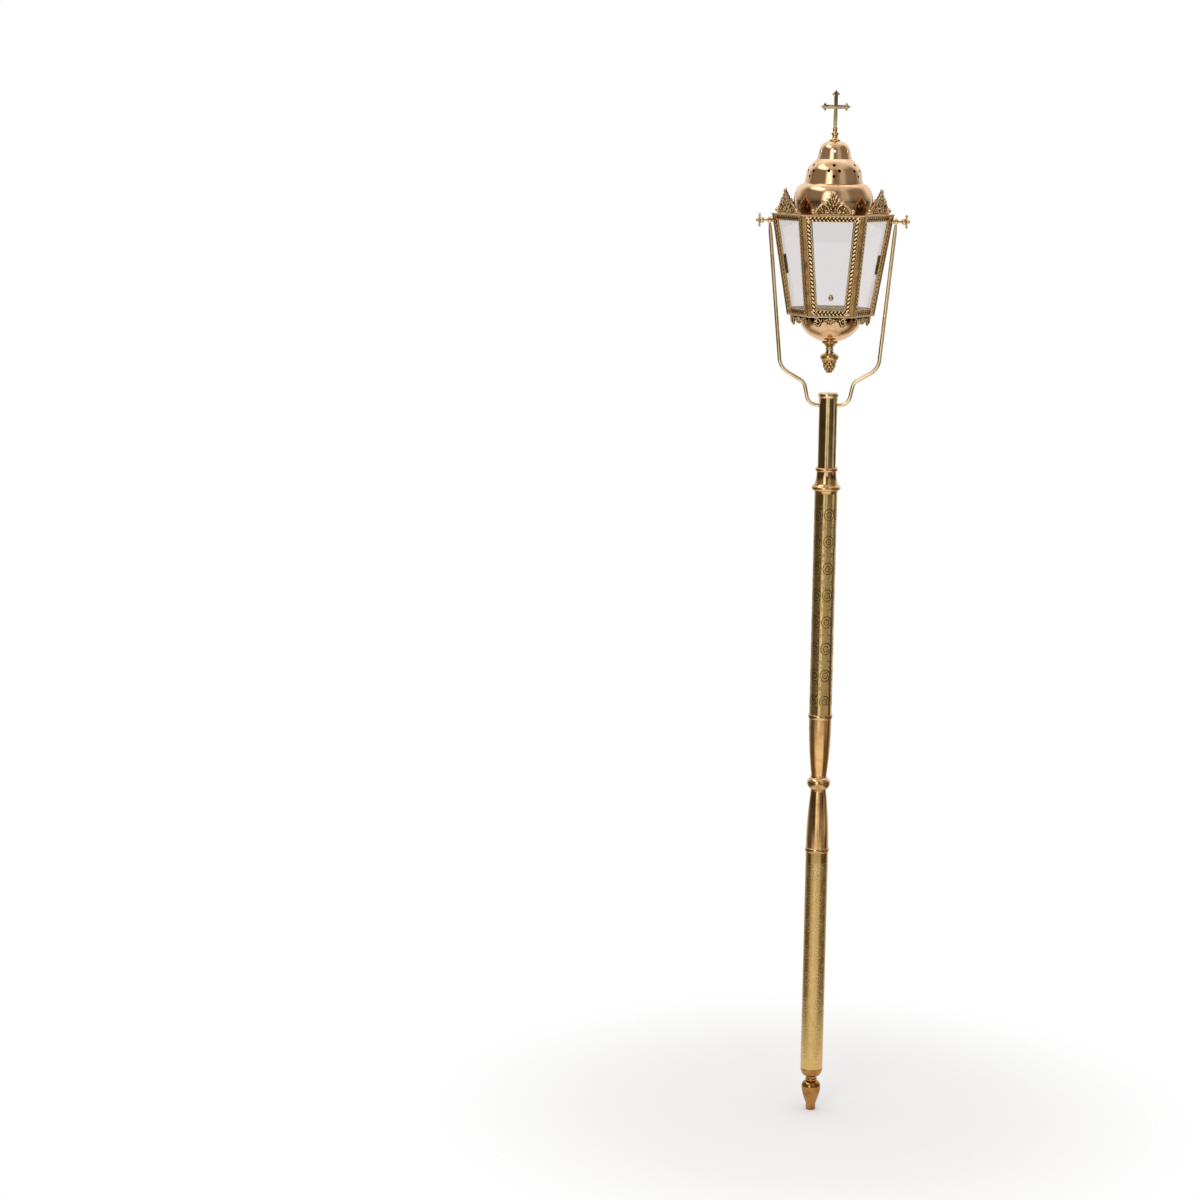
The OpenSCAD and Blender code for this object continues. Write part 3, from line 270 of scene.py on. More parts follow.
def makePiece(name, bm, materials, body, nodes=(), sharp=32):
    bmesh.ops.recalc_face_normals(bm, faces=bm.faces)
    bmesh.ops.transform(bm, matrix=toMetres, verts=bm.verts)
    mesh = bpy.data.meshes.new(name)
    bm.to_mesh(mesh)
    bm.free()
    for material in materials:
        mesh.materials.append(material)
    mesh.shade_smooth()
    mesh.set_sharp_from_angle(angle=math.radians(sharp))
    piece = bpy.data.objects.new(name, mesh)
    scene.collection.objects.link(piece)
    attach(piece, body)
    if nodes:
        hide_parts(*nodes)
    return piece


def cutAway(piece, cutter, sharp=32):
    # takes the cutter's shape out of a finished piece
    bmesh.ops.recalc_face_normals(cutter, faces=cutter.faces)
    bmesh.ops.transform(cutter, matrix=toMetres, verts=cutter.verts)
    mesh = bpy.data.meshes.new("cutter")
    cutter.to_mesh(mesh)
    cutter.free()
    tool = bpy.data.objects.new("cutter", mesh)
    scene.collection.objects.link(tool)
    modifier = piece.modifiers.new("cut", "BOOLEAN")
    modifier.object, modifier.operation, modifier.solver = tool, "DIFFERENCE", "EXACT"
    done = bpy.data.meshes.new_from_object(piece.evaluated_get(bpy.context.evaluated_depsgraph_get()))
    piece.modifiers.clear()
    piece.data = done
    done.shade_smooth()
    done.set_sharp_from_angle(angle=math.radians(sharp))
    bpy.data.objects.remove(tool)


def turnPiece(name, profile, material, body, node, steps=96, closed=False, matrix=Matrix()):
    bm = bmesh.new()
    turned(bm, profile, steps, closed, matrix)
    return makePiece(name, bm, [material], body, [node])


def pushOut(bm, faces, way, keep=False):
    # extrudes the faces and gives the new ones back
    made = bmesh.ops.extrude_face_region(bm, geom=faces, use_keep_orig=keep)["geom"]
    bmesh.ops.translate(bm, verts=[g for g in made if isinstance(g, bmesh.types.BMVert)], vec=way)
    return [g for g in made if isinstance(g, bmesh.types.BMFace)]


# staff: foot, tubes, rings, tapers, knop, socket collar and cap
foot = {"tip": 7.7, "tipHeight": 10, "ball": 15.1, "core": 8, "ballRise": 9.5, "beadHeight": 5,
        "beadProud": 1, "flareShare": 0.65, "edge": 0.8}
footTop = heights("foot_shoulder")[0]
ballZ = footTop - foot["beadHeight"] - foot["ballRise"]
ball = arc((foot["core"], ballZ), foot["ball"] - foot["core"], foot["ballRise"], 0, 90, 24)
beadHalf = foot["beadHeight"] / 2
bead = arc((foot["core"], footTop - beadHalf), foot["beadProud"], beadHalf, -90, 90)
flareZ = foot["tipHeight"] + (ballZ - foot["tipHeight"]) * foot["flareShare"]
flare = curve((foot["tip"], foot["tipHeight"]), (foot["ball"], flareZ), ball[0], 24)
tip = [(0, 0), (foot["tip"] - foot["edge"], 0), (foot["tip"], foot["edge"])]
turnPiece("turnedFoot", tip + flare + ball + bead + [(0, footTop)], darkReflectionFootBrass, "root", "foot_knob")

shoulder = {"neck": 8.5, "neckHeight": 3, "radius": 17.5}
tubeFoot = heights("lower_tube")[0]
swell = arc((shoulder["neck"], tubeFoot), shoulder["radius"] - shoulder["neck"],
            tubeFoot - footTop - shoulder["neckHeight"], -90, 0, 24)
turnPiece("roundedShoulder", [(0, footTop), (shoulder["neck"], footTop)] + swell + [(0, tubeFoot)],
          darkReflectionFootBrass, "root", "foot_shoulder")

staffTube = {"radius": 17.5, "wall": 1.2, "edge": 0.25}
headTube = {"radius": 14, "wall": 1.2, "edge": 0.25}
for name, node, size, material in (("engravedLowerTube", "lower_tube", staffTube, lowerTubeBrass),
                                   ("engravedUpperTube", "upper_tube", staffTube, upperTubeBrass),
                                   ("plainHeadTube", "head_tube", headTube, headBrass)):
    low, high = heights(node)
    outer, inner, edge = size["radius"], size["radius"] - size["wall"], size["edge"]
    profile = [(inner, low), (outer - edge, low), (outer, low + edge), (outer, high - edge),
               (outer - edge, high), (inner, high)]
    turnPiece(name, profile, material, "root", node, 128, True)

ring = {"radius": 17.5, "proud": 1.4, "height": 7, "bore": 4.1}
for name, node, low in (("lowerBeadRing", "lower_ring", heights("lower_tube")[1]),
                        ("upperBeadRing", "upper_ring", heights("upper_taper")[1])):
    high = low + ring["height"]
    bead = arc((ring["radius"], (low + high) / 2), ring["proud"], ring["height"] / 2, -90, 90)
    turnPiece(name, [(ring["bore"], low)] + bead + [(ring["bore"], high)], turnedBrass, "root", node,
              closed=True)

taper = {"wide": 17.5, "narrow": 12, "bore": 4.1, "steps": 36}
for name, node, up in (("lowerTaper", "lower_taper", True), ("upperTaper", "upper_taper", False)):
    low, high = heights(node)
    shares = [i / taper["steps"] for i in range(taper["steps"] + 1)]
    loss = taper["wide"] - taper["narrow"]
    side = [(taper["wide"] - loss * (t if up else 1 - t) ** 2, low + (high - low) * t) for t in shares]
    turnPiece(name, [(taper["bore"], low)] + side + [(taper["bore"], high)], taperBrass, "root", node,
              closed=True)

knop = {"radius": 18, "neck": 12.3, "core": 8, "collar": 2.5, "step": 0.3, "bore": 4.1}
low, high = heights("ball_knop")
proud = knop["radius"] - knop["core"]
lean = math.degrees(math.acos((knop["neck"] - knop["core"]) / proud))
rise = (high - low) / 2 - knop["collar"] + knop["step"]
ball = arc((knop["core"], (low + high) / 2), proud, rise, -lean, lean, 40)
turnPiece("ballKnop", [(knop["bore"], low), (knop["neck"], low)] + ball
          + [(knop["neck"], high), (knop["bore"], high)], turnedBrass, "root", "ball_knop",
          closed=True)

collar = {"tube": 17.5, "step": 18.3, "bead": 22.3, "beadHeight": 8, "footRise": 4, "waist": 15.05,
          "lip": 17.2, "lipHeight": 6, "edge": 0.8, "seat": 14.05}
low, high = heights("upper_tube")[1], heights("socket_collar")[1]
beadHalf, lipHalf, waist = collar["beadHeight"] / 2, collar["lipHeight"] / 2, collar["waist"]
beadZ = low + collar["footRise"] + beadHalf
lipZ = high - collar["edge"] - lipHalf
bead = arc((collar["step"], beadZ), collar["bead"] - collar["step"], beadHalf, -90, 60, 20)
flare = curve(bead[-1], (waist, beadZ + collar["beadHeight"]), (waist, lipZ - lipHalf), 20)[1:]
lip = arc((waist, lipZ), collar["lip"] - waist, lipHalf, -90, 90, 20)
turnPiece("socketCollar", [(collar["seat"], low), (collar["tube"], low)] + bead + flare + lip
          + [(waist, high), (collar["seat"], high)], turnedBrass, "root", "socket_collar",
          closed=True)

cap = {"tube": 14, "proud": 1.5, "height": 7.5, "dome": 0.8}
low = heights("head_tube")[1]
high = low + cap["height"]
bead = arc((cap["tube"], (low + high) / 2), cap["proud"], cap["height"] / 2, -90, 90, 20)
crown = curve((cap["tube"], high), (cap["tube"] / 2, high + cap["dome"]), (0, high + cap["dome"]), 8)
turnPiece("headCap", [(0, low)] + bead + crown, lipBrass, "root", "head_cap")
print("staff turned")


# yoke: two bent rods, each flattened to an eye at its top
yoke = {"rod": 3, "start": 5.5, "foot": 29.8, "waist": (37.4, 34.7), "shoulder": (74.4, 56.1),
        "bends": (16.5, 14, 27), "eyeIn": 93.1, "eyeThick": 3.8, "eyeRadius": 6, "eyeBore": 2.1,
        "eyeSeat": 1.5, "flatLength": 16, "flatSteps": 4, "flatWiden": 1.07, "edge": 0.5}
bushLow, bushHigh = heights("pivot_bushes")
pivotZ = (bushLow + bushHigh) / 2


def yokeArm():
    bm = bmesh.new()
    rodZ = heights("yoke_arm_right")[0] + yoke["rod"]
    eye = Vector((yoke["eyeIn"] + yoke["eyeThick"] / 2, 0, pivotZ))
    path = [Vector((yoke["start"], 0, rodZ)), Vector((yoke["foot"], 0, rodZ)),
            Vector((yoke["waist"][0], 0, rodZ + yoke["waist"][1])),
            Vector((yoke["shoulder"][0], 0, rodZ + yoke["shoulder"][1])), eye]
    made = bmesh.ops.create_circle(bm, cap_ends=False, radius=yoke["rod"], segments=24,
                                   matrix=Matrix.Translation(path[0]) @ Matrix.Rotation(math.pi / 2, 4, "Y"))
    edges = list({e for v in made["verts"] for e in v.link_edges})
    here = path[0]

    def extrudeTo(point, edges):
        out = bmesh.ops.extrude_edge_only(bm, edges=edges)["geom"]
        moved = [g for g in out if isinstance(g, bmesh.types.BMVert)]
        bmesh.ops.translate(bm, verts=moved, vec=point - here)
        return [g for g in out if isinstance(g, bmesh.types.BMEdge)
                and all(v in moved for v in g.verts)], moved

    bmesh.ops.edgeloop_fill(bm, edges=edges)
    for corner, before, after, radius in zip(path[1:-1], path, path[2:], yoke["bends"]):
        back, ahead = (before - corner).normalized(), (after - corner).normalized()
        wide = back.angle(ahead)
        setBack = radius / math.tan(wide / 2)
        edges, moved = extrudeTo(corner + back * setBack, edges)
        here = corner + back * setBack
        centre = corner + (back + ahead).normalized() * radius / math.sin(wide / 2)
        turn = (-back).cross(ahead)
        out = bmesh.ops.spin(bm, geom=moved + edges, cent=centre, axis=turn.normalized(),
                             angle=math.pi - wide, steps=12)
        moved = [g for g in out["geom_last"] if isinstance(g, bmesh.types.BMVert)]
        edges = [g for g in out["geom_last"] if isinstance(g, bmesh.types.BMEdge)]
        here = corner + ahead * setBack
    along = (eye - here).normalized()
    edges, moved = extrudeTo(eye - along * yoke["flatLength"], edges)
    here = eye - along * yoke["flatLength"]
    toEye = yoke["eyeRadius"] - yoke["eyeSeat"] - yoke["flatLength"]
    squeeze = 1 - (1 - yoke["eyeThick"] / 2 / yoke["rod"]) / yoke["flatSteps"]
    flatten = (squeeze, yoke["flatWiden"], 1)
    for i in range(yoke["flatSteps"]):
        point = eye - along * (yoke["flatLength"] + toEye * (i + 1) / yoke["flatSteps"])
        edges, moved = extrudeTo(point, edges)
        here = point
        bmesh.ops.scale(bm, vec=flatten, space=Matrix.Translation(-point), verts=moved)
    bmesh.ops.edgeloop_fill(bm, edges=edges)
    outer, bore, edge = yoke["eyeRadius"], yoke["eyeBore"], yoke["edge"]
    turned(bm, [(bore, 0), (outer - edge, 0), (outer, edge), (outer, yoke["eyeThick"] - edge),
                (outer - edge, yoke["eyeThick"]), (bore, yoke["eyeThick"])], 48, True,
           Matrix.Translation((yoke["eyeIn"], 0, pivotZ)) @ Matrix.Rotation(math.pi / 2, 4, "Y"))
    return bm


for name, node, side in (("yokeArmRight", "yoke_arm_right", 1), ("yokeArmLeft", "yoke_arm_left", -1)):
    bm = yokeArm()
    bmesh.ops.scale(bm, vec=(side, 1, 1), verts=bm.verts)
    makePiece(name, bm, [rodBrass], "root", [node])

thumb = {"stem": 2, "length": 18.5, "collar": 3.4, "collarLength": 1.5, "stalk": 4.5, "bell": 5, "ball": 3,
         "ballSunk": 0.8, "bar": 1.3, "barLength": 21, "barTip": 2}
for name, node, side in (("thumbscrewRight", "thumbscrew_right", 1),
                         ("thumbscrewLeft", "thumbscrew_left", -1)):
    bm = bmesh.new()
    stem, collarEnd = thumb["stem"], thumb["collarLength"]
    ballZ = thumb["length"] - thumb["ball"]
    bellZ = collarEnd + thumb["stalk"]
    bellEnd = ballZ - thumb["ball"] * thumb["ballSunk"]
    bell = arc((stem, (bellZ + bellEnd) / 2), thumb["bell"] - stem, (bellEnd - bellZ) / 2, -90, 70, 20)
    ball = arc((0, ballZ), thumb["ball"], thumb["ball"], -52, 90, 28)
    inEnd, outEnd = sorted(abs(corner.x) * 1000 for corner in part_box(node))
    stemEnd = inEnd - (outEnd - thumb["length"])
    lie = Matrix.Translation((outEnd - thumb["length"], 0, pivotZ)) @ Matrix.Rotation(math.pi / 2, 4, "Y")
    turned(bm, [(0, stemEnd), (stem, stemEnd), (stem, 0), (thumb["collar"], 0), (thumb["collar"], collarEnd),
                (stem, collarEnd)] + bell + ball, 48, matrix=lie)
    reach = math.degrees(math.asin(thumb["bar"] / thumb["barTip"]))
    tip = arc((0, thumb["barLength"] / 2 - thumb["barTip"]), thumb["barTip"], thumb["barTip"],
              reach - 90, 90, 12)
    turned(bm, [(0 if r < 0.001 else r, -z) for r, z in reversed(tip)] + tip, 24,
           matrix=lie @ Matrix.Translation((0, 0, bellEnd)) @ Matrix.Rotation(math.pi / 2, 4, "Y"))
    bmesh.ops.scale(bm, vec=(side, 1, 1), verts=bm.verts)
    makePiece(name, bm, [knobBrass], node, [node])
print("yoke and thumbscrews made")


# spun roof tiers with their vent holes
roof = {"wall": 1, "baseRadius": 58, "radius": 59.5, "wideHeight": 20, "round": 2, "step": 0.3, "ledge": 7,
        "middleRadius": 43.9, "middleShoulder": (40.8, 18), "topRadius": 25.9, "topShoulder": (23.2, 12.5),
        "flangeRadius": 8.5, "studRadius": 2.55, "ventRadius": 2.375, "ventSpread": 8.2, "ventSides": 20,
        "drillFrom": 10, "drillTo": 70, "backLift": 3.2, "bulgeShare": 0.4}
roofFinish = [spunBrass, sootAndShadeBrass]
rimZ, middleZ = heights("roof_dome")
topZ, crossBaseZ = heights("roof_cap")


def spunShell(outer, openRadius):
    outer = outer + [(openRadius, outer[-1][1])]
    inner = []
    for i, point in enumerate(outer):
        ahead = Vector(outer[min(i + 1, len(outer) - 1)]) - Vector(outer[max(i - 1, 0)])
        ahead.normalize()
        inner.append((point[0] - roof["wall"] * ahead.y, max(point[1] + roof["wall"] * ahead.x, outer[0][1])))
    bm = bmesh.new()
    turned(bm, outer + inner[::-1], 120, True)
    bmesh.ops.recalc_face_normals(bm, faces=bm.faces)
    for f in bm.faces:
        middle = f.calc_center_median()
        f.material_index = 1 if f.normal.z + f.normal.x * middle.x + f.normal.y * middle.y < -0.05 else 0
    return bm


def ventHoles(places):
    bm = bmesh.new()
    middle = (roof["drillFrom"] + roof["drillTo"]) / 2
    for angle, z in places:
        spot = (Matrix.Rotation(math.radians(angle), 4, "Z") @ Matrix.Translation((0, -middle, z))
                @ Matrix.Rotation(math.pi / 2, 4, "X"))
        bmesh.ops.create_cone(bm, cap_ends=True, segments=roof["ventSides"], radius1=roof["ventRadius"],
                              radius2=roof["ventRadius"], depth=roof["drillTo"] - roof["drillFrom"],
                              matrix=spot)
    return bm


wide, wideZ = roof["radius"], rimZ + roof["wideHeight"]
domeSide = (curve((roof["baseRadius"], rimZ), (wide, (rimZ + wideZ) / 2), (wide, wideZ), 10)
            + curve((wide, wideZ), (wide - roof["round"], middleZ - roof["round"]),
                    (roof["middleRadius"] + roof["step"], middleZ), 32)[1:])
makePiece("spunDome", spunShell(domeSide, roof["middleRadius"] - roof["ledge"]), roofFinish, "lantern",
          ["roof_dome"])

shoulderR, shoulderZ = roof["middleShoulder"][0], middleZ + roof["middleShoulder"][1]
bulge = (shoulderR - (roof["middleRadius"] - shoulderR) / 2,
         shoulderZ + roof["middleShoulder"][1] * roof["bulgeShare"])
middleSide = ([(roof["middleRadius"], middleZ)]
              + curve((shoulderR, shoulderZ), bulge, (roof["topRadius"] + roof["step"], topZ), 28))
tier = makePiece("spunMiddleTier", spunShell(middleSide, roof["topRadius"] - roof["ledge"]), roofFinish,
                 "lantern", ["roof_middle"])
ventZ = shoulderZ + roof["ventRadius"] / 2
spread = math.degrees(math.atan(roof["ventSpread"] / shoulderR))
lifts = [0, 0, roof["backLift"], roof["backLift"], roof["backLift"], 0]
cutAway(tier, ventHoles([(60 * i + a * spread, ventZ + b * roof["ventSpread"] + lifts[i]) for i in range(6)
                         for a, b in ((-1, 0), (1, 0), (0, -1), (0, 1))]))

shoulderR, shoulderZ = roof["topShoulder"][0], topZ + roof["topShoulder"][1]
bulge = (2 * shoulderR - roof["topRadius"], crossBaseZ - 2 * roof["wall"])
topSide = ([(roof["topRadius"], topZ)]
           + curve((shoulderR, shoulderZ), bulge, (roof["flangeRadius"] + roof["step"], crossBaseZ), 28))
tier = makePiece("spunCapTier", spunShell(topSide, roof["studRadius"]), roofFinish, "lantern", ["roof_cap"])
cutAway(tier, ventHoles([(60 * i, shoulderZ - roof["ventRadius"] / 2) for i in range(6)]))
print("roof spun")


# cross and its turned base
crossBase = {"flange": 8.5, "flangeHeight": 3.5, "flangeEdge": (0.4, 0.6), "waist": 3.8, "bead": 5.5,
             "beadAt": 0.45, "beadShare": 0.3, "neckShare": 0.8, "edge": 0.8}
low, high = crossBaseZ, heights("cross_base")[1]
waist, edge, flangeZ = crossBase["waist"], crossBase["edge"], low + crossBase["flangeHeight"]
edgeLow, edgeHigh = [low + crossBase["flangeHeight"] * share for share in crossBase["flangeEdge"]]
beadZ = flangeZ + (high - flangeZ) * crossBase["beadAt"]
beadHeight = (high - flangeZ) * crossBase["beadShare"]
flare = curve((crossBase["flange"] - edge, edgeHigh), (waist, flangeZ), (waist, beadZ - beadHeight / 2))
bead = arc((waist, beadZ), crossBase["bead"] - waist, beadHeight / 2, -90, 90)
turnPiece("crossBase", [(0, low), (crossBase["flange"], low), (crossBase["flange"], edgeLow)] + flare + bead
          + [(waist * crossBase["neckShare"], beadZ + beadHeight), (waist, high - edge),
             (waist - edge / 2, high), (0, high)], turnedBrass, "lantern", "cross_base", 64)

cross = {"height": 56, "width": 44, "armHeight": 31.2, "bar": 6, "thick": 3.4, "bud": 12, "knob": 1.44,
         "lozenge": 5.52, "edge": 0.55}


def crossArm(turn, length):
    # one arm's outline from right to left: bar, lozenge and three small knobs
    half, reach, away = cross["bar"] / 2, length - cross["bud"] / 2, cross["bud"] / 2 - cross["knob"]
    points = [(half, reach - cross["lozenge"] + half)]
    for angle in (0, 90, 180):
        middle = (away * math.cos(math.radians(angle)), reach + away * math.sin(math.radians(angle)))
        points += arc(middle, cross["knob"], cross["knob"], angle - 100, angle + 100, 10)
    points.append((-half, reach - cross["lozenge"] + half))
    return [Matrix.Rotation(math.radians(turn), 2) @ Vector(p) for p in points]


bm = bmesh.new()
crossFoot = heights("cross_base")[1]
armZ = cross["armHeight"]
half = cross["bar"] / 2
outline = [Vector((half, -armZ)), Vector((half, -half))]
for turn, length in ((-90, cross["width"] / 2), (0, cross["height"] - armZ), (90, cross["width"] / 2)):
    outline += crossArm(turn, length)
    if turn < 90:
        outline.append(Matrix.Rotation(math.radians(turn), 2) @ Vector((-half, half)))
outline += [Vector((-half, -half)), Vector((-half, -armZ))]
face = bm.faces.new([bm.verts.new((p.x, cross["thick"] / 2, crossFoot + armZ + p.y)) for p in outline])
pushOut(bm, [face], (0, -cross["thick"], 0))
bmesh.ops.recalc_face_normals(bm, faces=bm.faces)
rims = [e for e in bm.edges if abs(e.verts[0].co.y - e.verts[1].co.y) < 0.01]
bmesh.ops.bevel(bm, geom=rims, offset=cross["edge"], offset_type="OFFSET", affect="EDGES", segments=2,
                profile=0.5, material=-1, clamp_overlap=True)
makePiece("castCross", bm, [crossBrass], "lantern", ["cross"])
print("cross made")


# bowl, finial neck and pinecone
bowl = {"radius": 47.5, "depth": 40.5, "wall": 1, "flange": 3, "flat": 10.5, "bore": 3.05}
baseZ = heights("floor_plate")[0]
flatZ = heights("bowl")[0]
wall, bore, flange = bowl["wall"], bowl["bore"], bowl["radius"] + bowl["flange"]
lowZ = baseZ - wall
lean = math.degrees(math.acos(bowl["flat"] / bowl["radius"]))
outer = [(r, min(z, lowZ)) for r, z in arc((0, baseZ), bowl["radius"], bowl["depth"], -lean, 0, 48)]
inner = [(r, max(z, flatZ + wall))
         for r, z in arc((0, baseZ), bowl["radius"] - wall, bowl["depth"] - wall, 0, -lean, 48)]
turnPiece("spunBowl", [(bore, flatZ)] + outer + [(flange, lowZ), (flange, baseZ)] + inner
          + [(bore, flatZ + wall)], bowlBrass, "lantern", "bowl", 120, True)

neck = {"flange": 12.5, "flangeHeight": 2, "edge": 0.8, "waist": 5.3, "coneShares": (0.62, 0.45), "foot": 6.7,
        "footHeight": 1.6, "beadProud": 1.3, "beadAt": 0.34, "beadShare": 0.08}
low, high = heights("finial_neck")
length, waist, thick = high - low, neck["waist"], neck["flangeHeight"]
bend, coneEnd = [low + length * share for share in neck["coneShares"]]
cone = curve((neck["flange"] - neck["edge"], high - thick), (waist + thick, bend), (waist, coneEnd), 16)
bead = arc((waist, low + length * neck["beadAt"]), neck["beadProud"], length * neck["beadShare"], 90, -90, 10)
lip = arc((neck["flange"] - thick / 2, high - thick / 2), thick / 2, thick / 2, 90, -90, 10)
footZ = low + neck["footHeight"]
neckFoot = [(waist, footZ), (neck["foot"], footZ), (neck["foot"], low), (0, low)]
turnPiece("finialNeck", [(0, high)] + lip + cone + bead + neckFoot, knobBrass, "lantern", "finial_neck",
          64)

pine = {"radius": 10.8, "collar": 14.2, "collarHeight": 12, "collarAt": 0.55, "collarShare": 0.42,
        "collarIn": 1, "tip": 2, "tipIn": 0.4, "tipBulge": 3, "bulge": (0.78, 0.86), "bulgeAt": 0.38,
        "scaleRows": 5, "scales": 8, "scaleStart": 1.2, "scaleStop": 0.4, "scaleThick": 1.6, "scaleSunk": 0.6,
        "scaleWide": 0.46, "scaleLong": 2.6, "scaleTilt": 0.18, "core": 0.8}
bm = bmesh.new()
low, high = heights("pinecone")
coneTop = high - pine["collarHeight"]
inner = pine["radius"] - pine["collarIn"]
body = curve((pine["tip"], low), (pine["radius"] * pine["bulge"][0], low + pine["tipBulge"]),
             (pine["radius"] * pine["bulge"][1], low + (high - low) * pine["bulgeAt"]), 24)
body = [(max(r - pine["scaleThick"] * pine["scaleSunk"], pine["core"]), z)
        for r, z in body + [(pine["radius"], coneTop)]]
collarLine = arc((inner, high - pine["collarHeight"] * pine["collarAt"]), pine["collar"] - inner,
                 pine["collarHeight"] * pine["collarShare"], -80, 60, 20)
turned(bm, [(0, low + pine["tipIn"])] + body + collarLine + [(neck["foot"], high), (0, high)], 64)
# the core between the scales takes the second finish, darkened as painted shade between them
for f in bm.faces:
    f.material_index = 1 if f.calc_center_median().z < coneTop else 0
scaleRise = coneTop - low - pine["scaleStart"] - pine["scaleStop"]
for row in range(pine["scaleRows"]):
    z = low + pine["scaleStart"] + scaleRise * row / (pine["scaleRows"] - 1)
    (r0, z0), (r1, z1) = next((p for p in zip(body, body[1:]) if p[0][1] <= z <= p[1][1]), body[-2:])
    radius = r0 + (r1 - r0) * min((z - z0) / max(z1 - z0, 0.001), 1)
    tilt = math.atan2(r1 - r0, z1 - z0)
    width = 2 * math.pi * radius / pine["scales"]
    size = Matrix.Diagonal((pine["scaleThick"], width * pine["scaleWide"], pine["scaleLong"], 1))
    for i in range(pine["scales"]):
        spot = (Matrix.Rotation(2 * math.pi * (i + row % 2 / 2) / pine["scales"], 4, "Z")
                @ Matrix.Translation((radius, 0, z))
                @ Matrix.Rotation(tilt - pine["scaleTilt"], 4, "Y") @ size)
        bmesh.ops.create_uvsphere(bm, u_segments=8, v_segments=6, radius=1, matrix=spot)
makePiece("castPinecone", bm, [finialBrass, shadedSunkBrass], "lantern", ["pinecone"], 50)
print("bowl and finial made")


# six-sided body: plates, cast frames, crests and aprons
# a side has its own frame: x along it, y up its slope, z outwards
lantern = {"baseRadius": 66, "rimRadius": 92, "height": 153, "lip": 0.8, "plate": 2, "post": 4.2, "border": 9,
           "topBar": 8.6, "bottomBar": 9.2, "frameThick": 2.4}
cosSide = math.cos(math.pi / 6)
slope = math.atan((lantern["rimRadius"] - lantern["baseRadius"]) * cosSide / lantern["height"])
sideHeight = lantern["height"] / math.cos(slope)
sideNames = ("front", "front_right", "back_right", "back", "back_left", "front_left")


def sideMatrix(i):
    return (Matrix.Rotation(math.radians(60 * i), 4, "Z")
            @ Matrix.Translation((0, -lantern["baseRadius"] * cosSide, baseZ))
            @ Matrix.Rotation(math.pi / 2 + slope, 4, "X"))


def halfWidth(v):
    return (lantern["baseRadius"] + (lantern["rimRadius"] - lantern["baseRadius"]) * v / sideHeight) / 2


def lobe(bm, place, size, lean=0, level=0.75, sides=8, back=-0.3):
    # bud or leaf of cast work, its length leaning from the side's x axis, cut flat at level and at its back
    turn = Matrix.Rotation(math.radians(lean), 4, "Z")
    spot = Matrix.Translation(place) @ turn @ Matrix.Diagonal((*size, 1))
    made = bmesh.ops.create_uvsphere(bm, u_segments=sides, v_segments=sides * 3 // 4, radius=1)["verts"]
    for v in made:
        v.co.z = min(max(v.co.z, back), level)
    bmesh.ops.transform(bm, matrix=spot, verts=made)


def bar(bm, a, b, radius):
    a, b = Vector(a), Vector(b)
    spot = Matrix.Translation((a + b) / 2) @ (b - a).to_track_quat("Z", "Y").to_matrix().to_4x4()
    bmesh.ops.create_cone(bm, cap_ends=True, segments=8, radius1=radius, radius2=radius, depth=(b - a).length,
                          matrix=spot)


def scroll(bm, points, depth, radius, endRadius):
    # a cast stem along a smooth curve through the points
    line = bpy.data.curves.new("scroll", "CURVE")
    line.dimensions, line.bevel_depth, line.bevel_resolution, line.resolution_u = "3D", radius, 2, 5
    line.use_fill_caps = True
    spline = line.splines.new("BEZIER")
    spline.bezier_points.add(len(points) - 1)
    for i, (knot, point) in enumerate(zip(spline.bezier_points, points)):
        knot.co = (point[0], point[1], depth)
        knot.handle_left_type = knot.handle_right_type = "AUTO"
        knot.radius = 1 + (endRadius / radius - 1) * i / (len(points) - 1)
    thing = bpy.data.objects.new("scroll", line)
    mesh = bpy.data.meshes.new_from_object(thing)
    bm.from_mesh(mesh)
    bpy.data.objects.remove(thing)
    bpy.data.curves.remove(line)
    bpy.data.meshes.remove(mesh)


def plate(bm, loops, back, thick):
    # a pierced plate: its face and edges take the second finish, darkened as painted shade on the ground; the
    # back takes the third
    edges = []
    for loop in loops:
        verts = [bm.verts.new((u, v, back)) for u, v in loop]
        edges += [bm.edges.new((verts[i], verts[i - 1])) for i in range(len(verts))]
    made = bmesh.ops.triangle_fill(bm, edges=edges, use_beauty=True)["geom"]
    behind = [g for g in made if isinstance(g, bmesh.types.BMFace)]
    for f in pushOut(bm, behind, (0, 0, thick), True):
        f.material_index = 1
    for f in behind:
        f.material_index = 2


# one cast panel frame: sunk ground, fillets at its edges, leaves and beads up the sides, strokes across
panel = {"ground": 1.1, "fillet": 0.6, "filletRise": 0.1, "worn": 0.5,
         "leafPitch": 6.0, "leaf": (3.8, 1.4, 1.5), "leafLean": 43, "bead": (1.1, 1.3, 1.5),
         "beadPlace": (2.9, 1.7), "strokePitch": 5.4, "stroke": (2.2, 1.1, 1.5), "strokeLean": 50,
         "strokeRow": 1.9}


def corners(bottom, top, inset):
    return [(-halfWidth(bottom) + inset, bottom), (halfWidth(bottom) - inset, bottom),
            (halfWidth(top) - inset, top), (-halfWidth(top) + inset, top)]


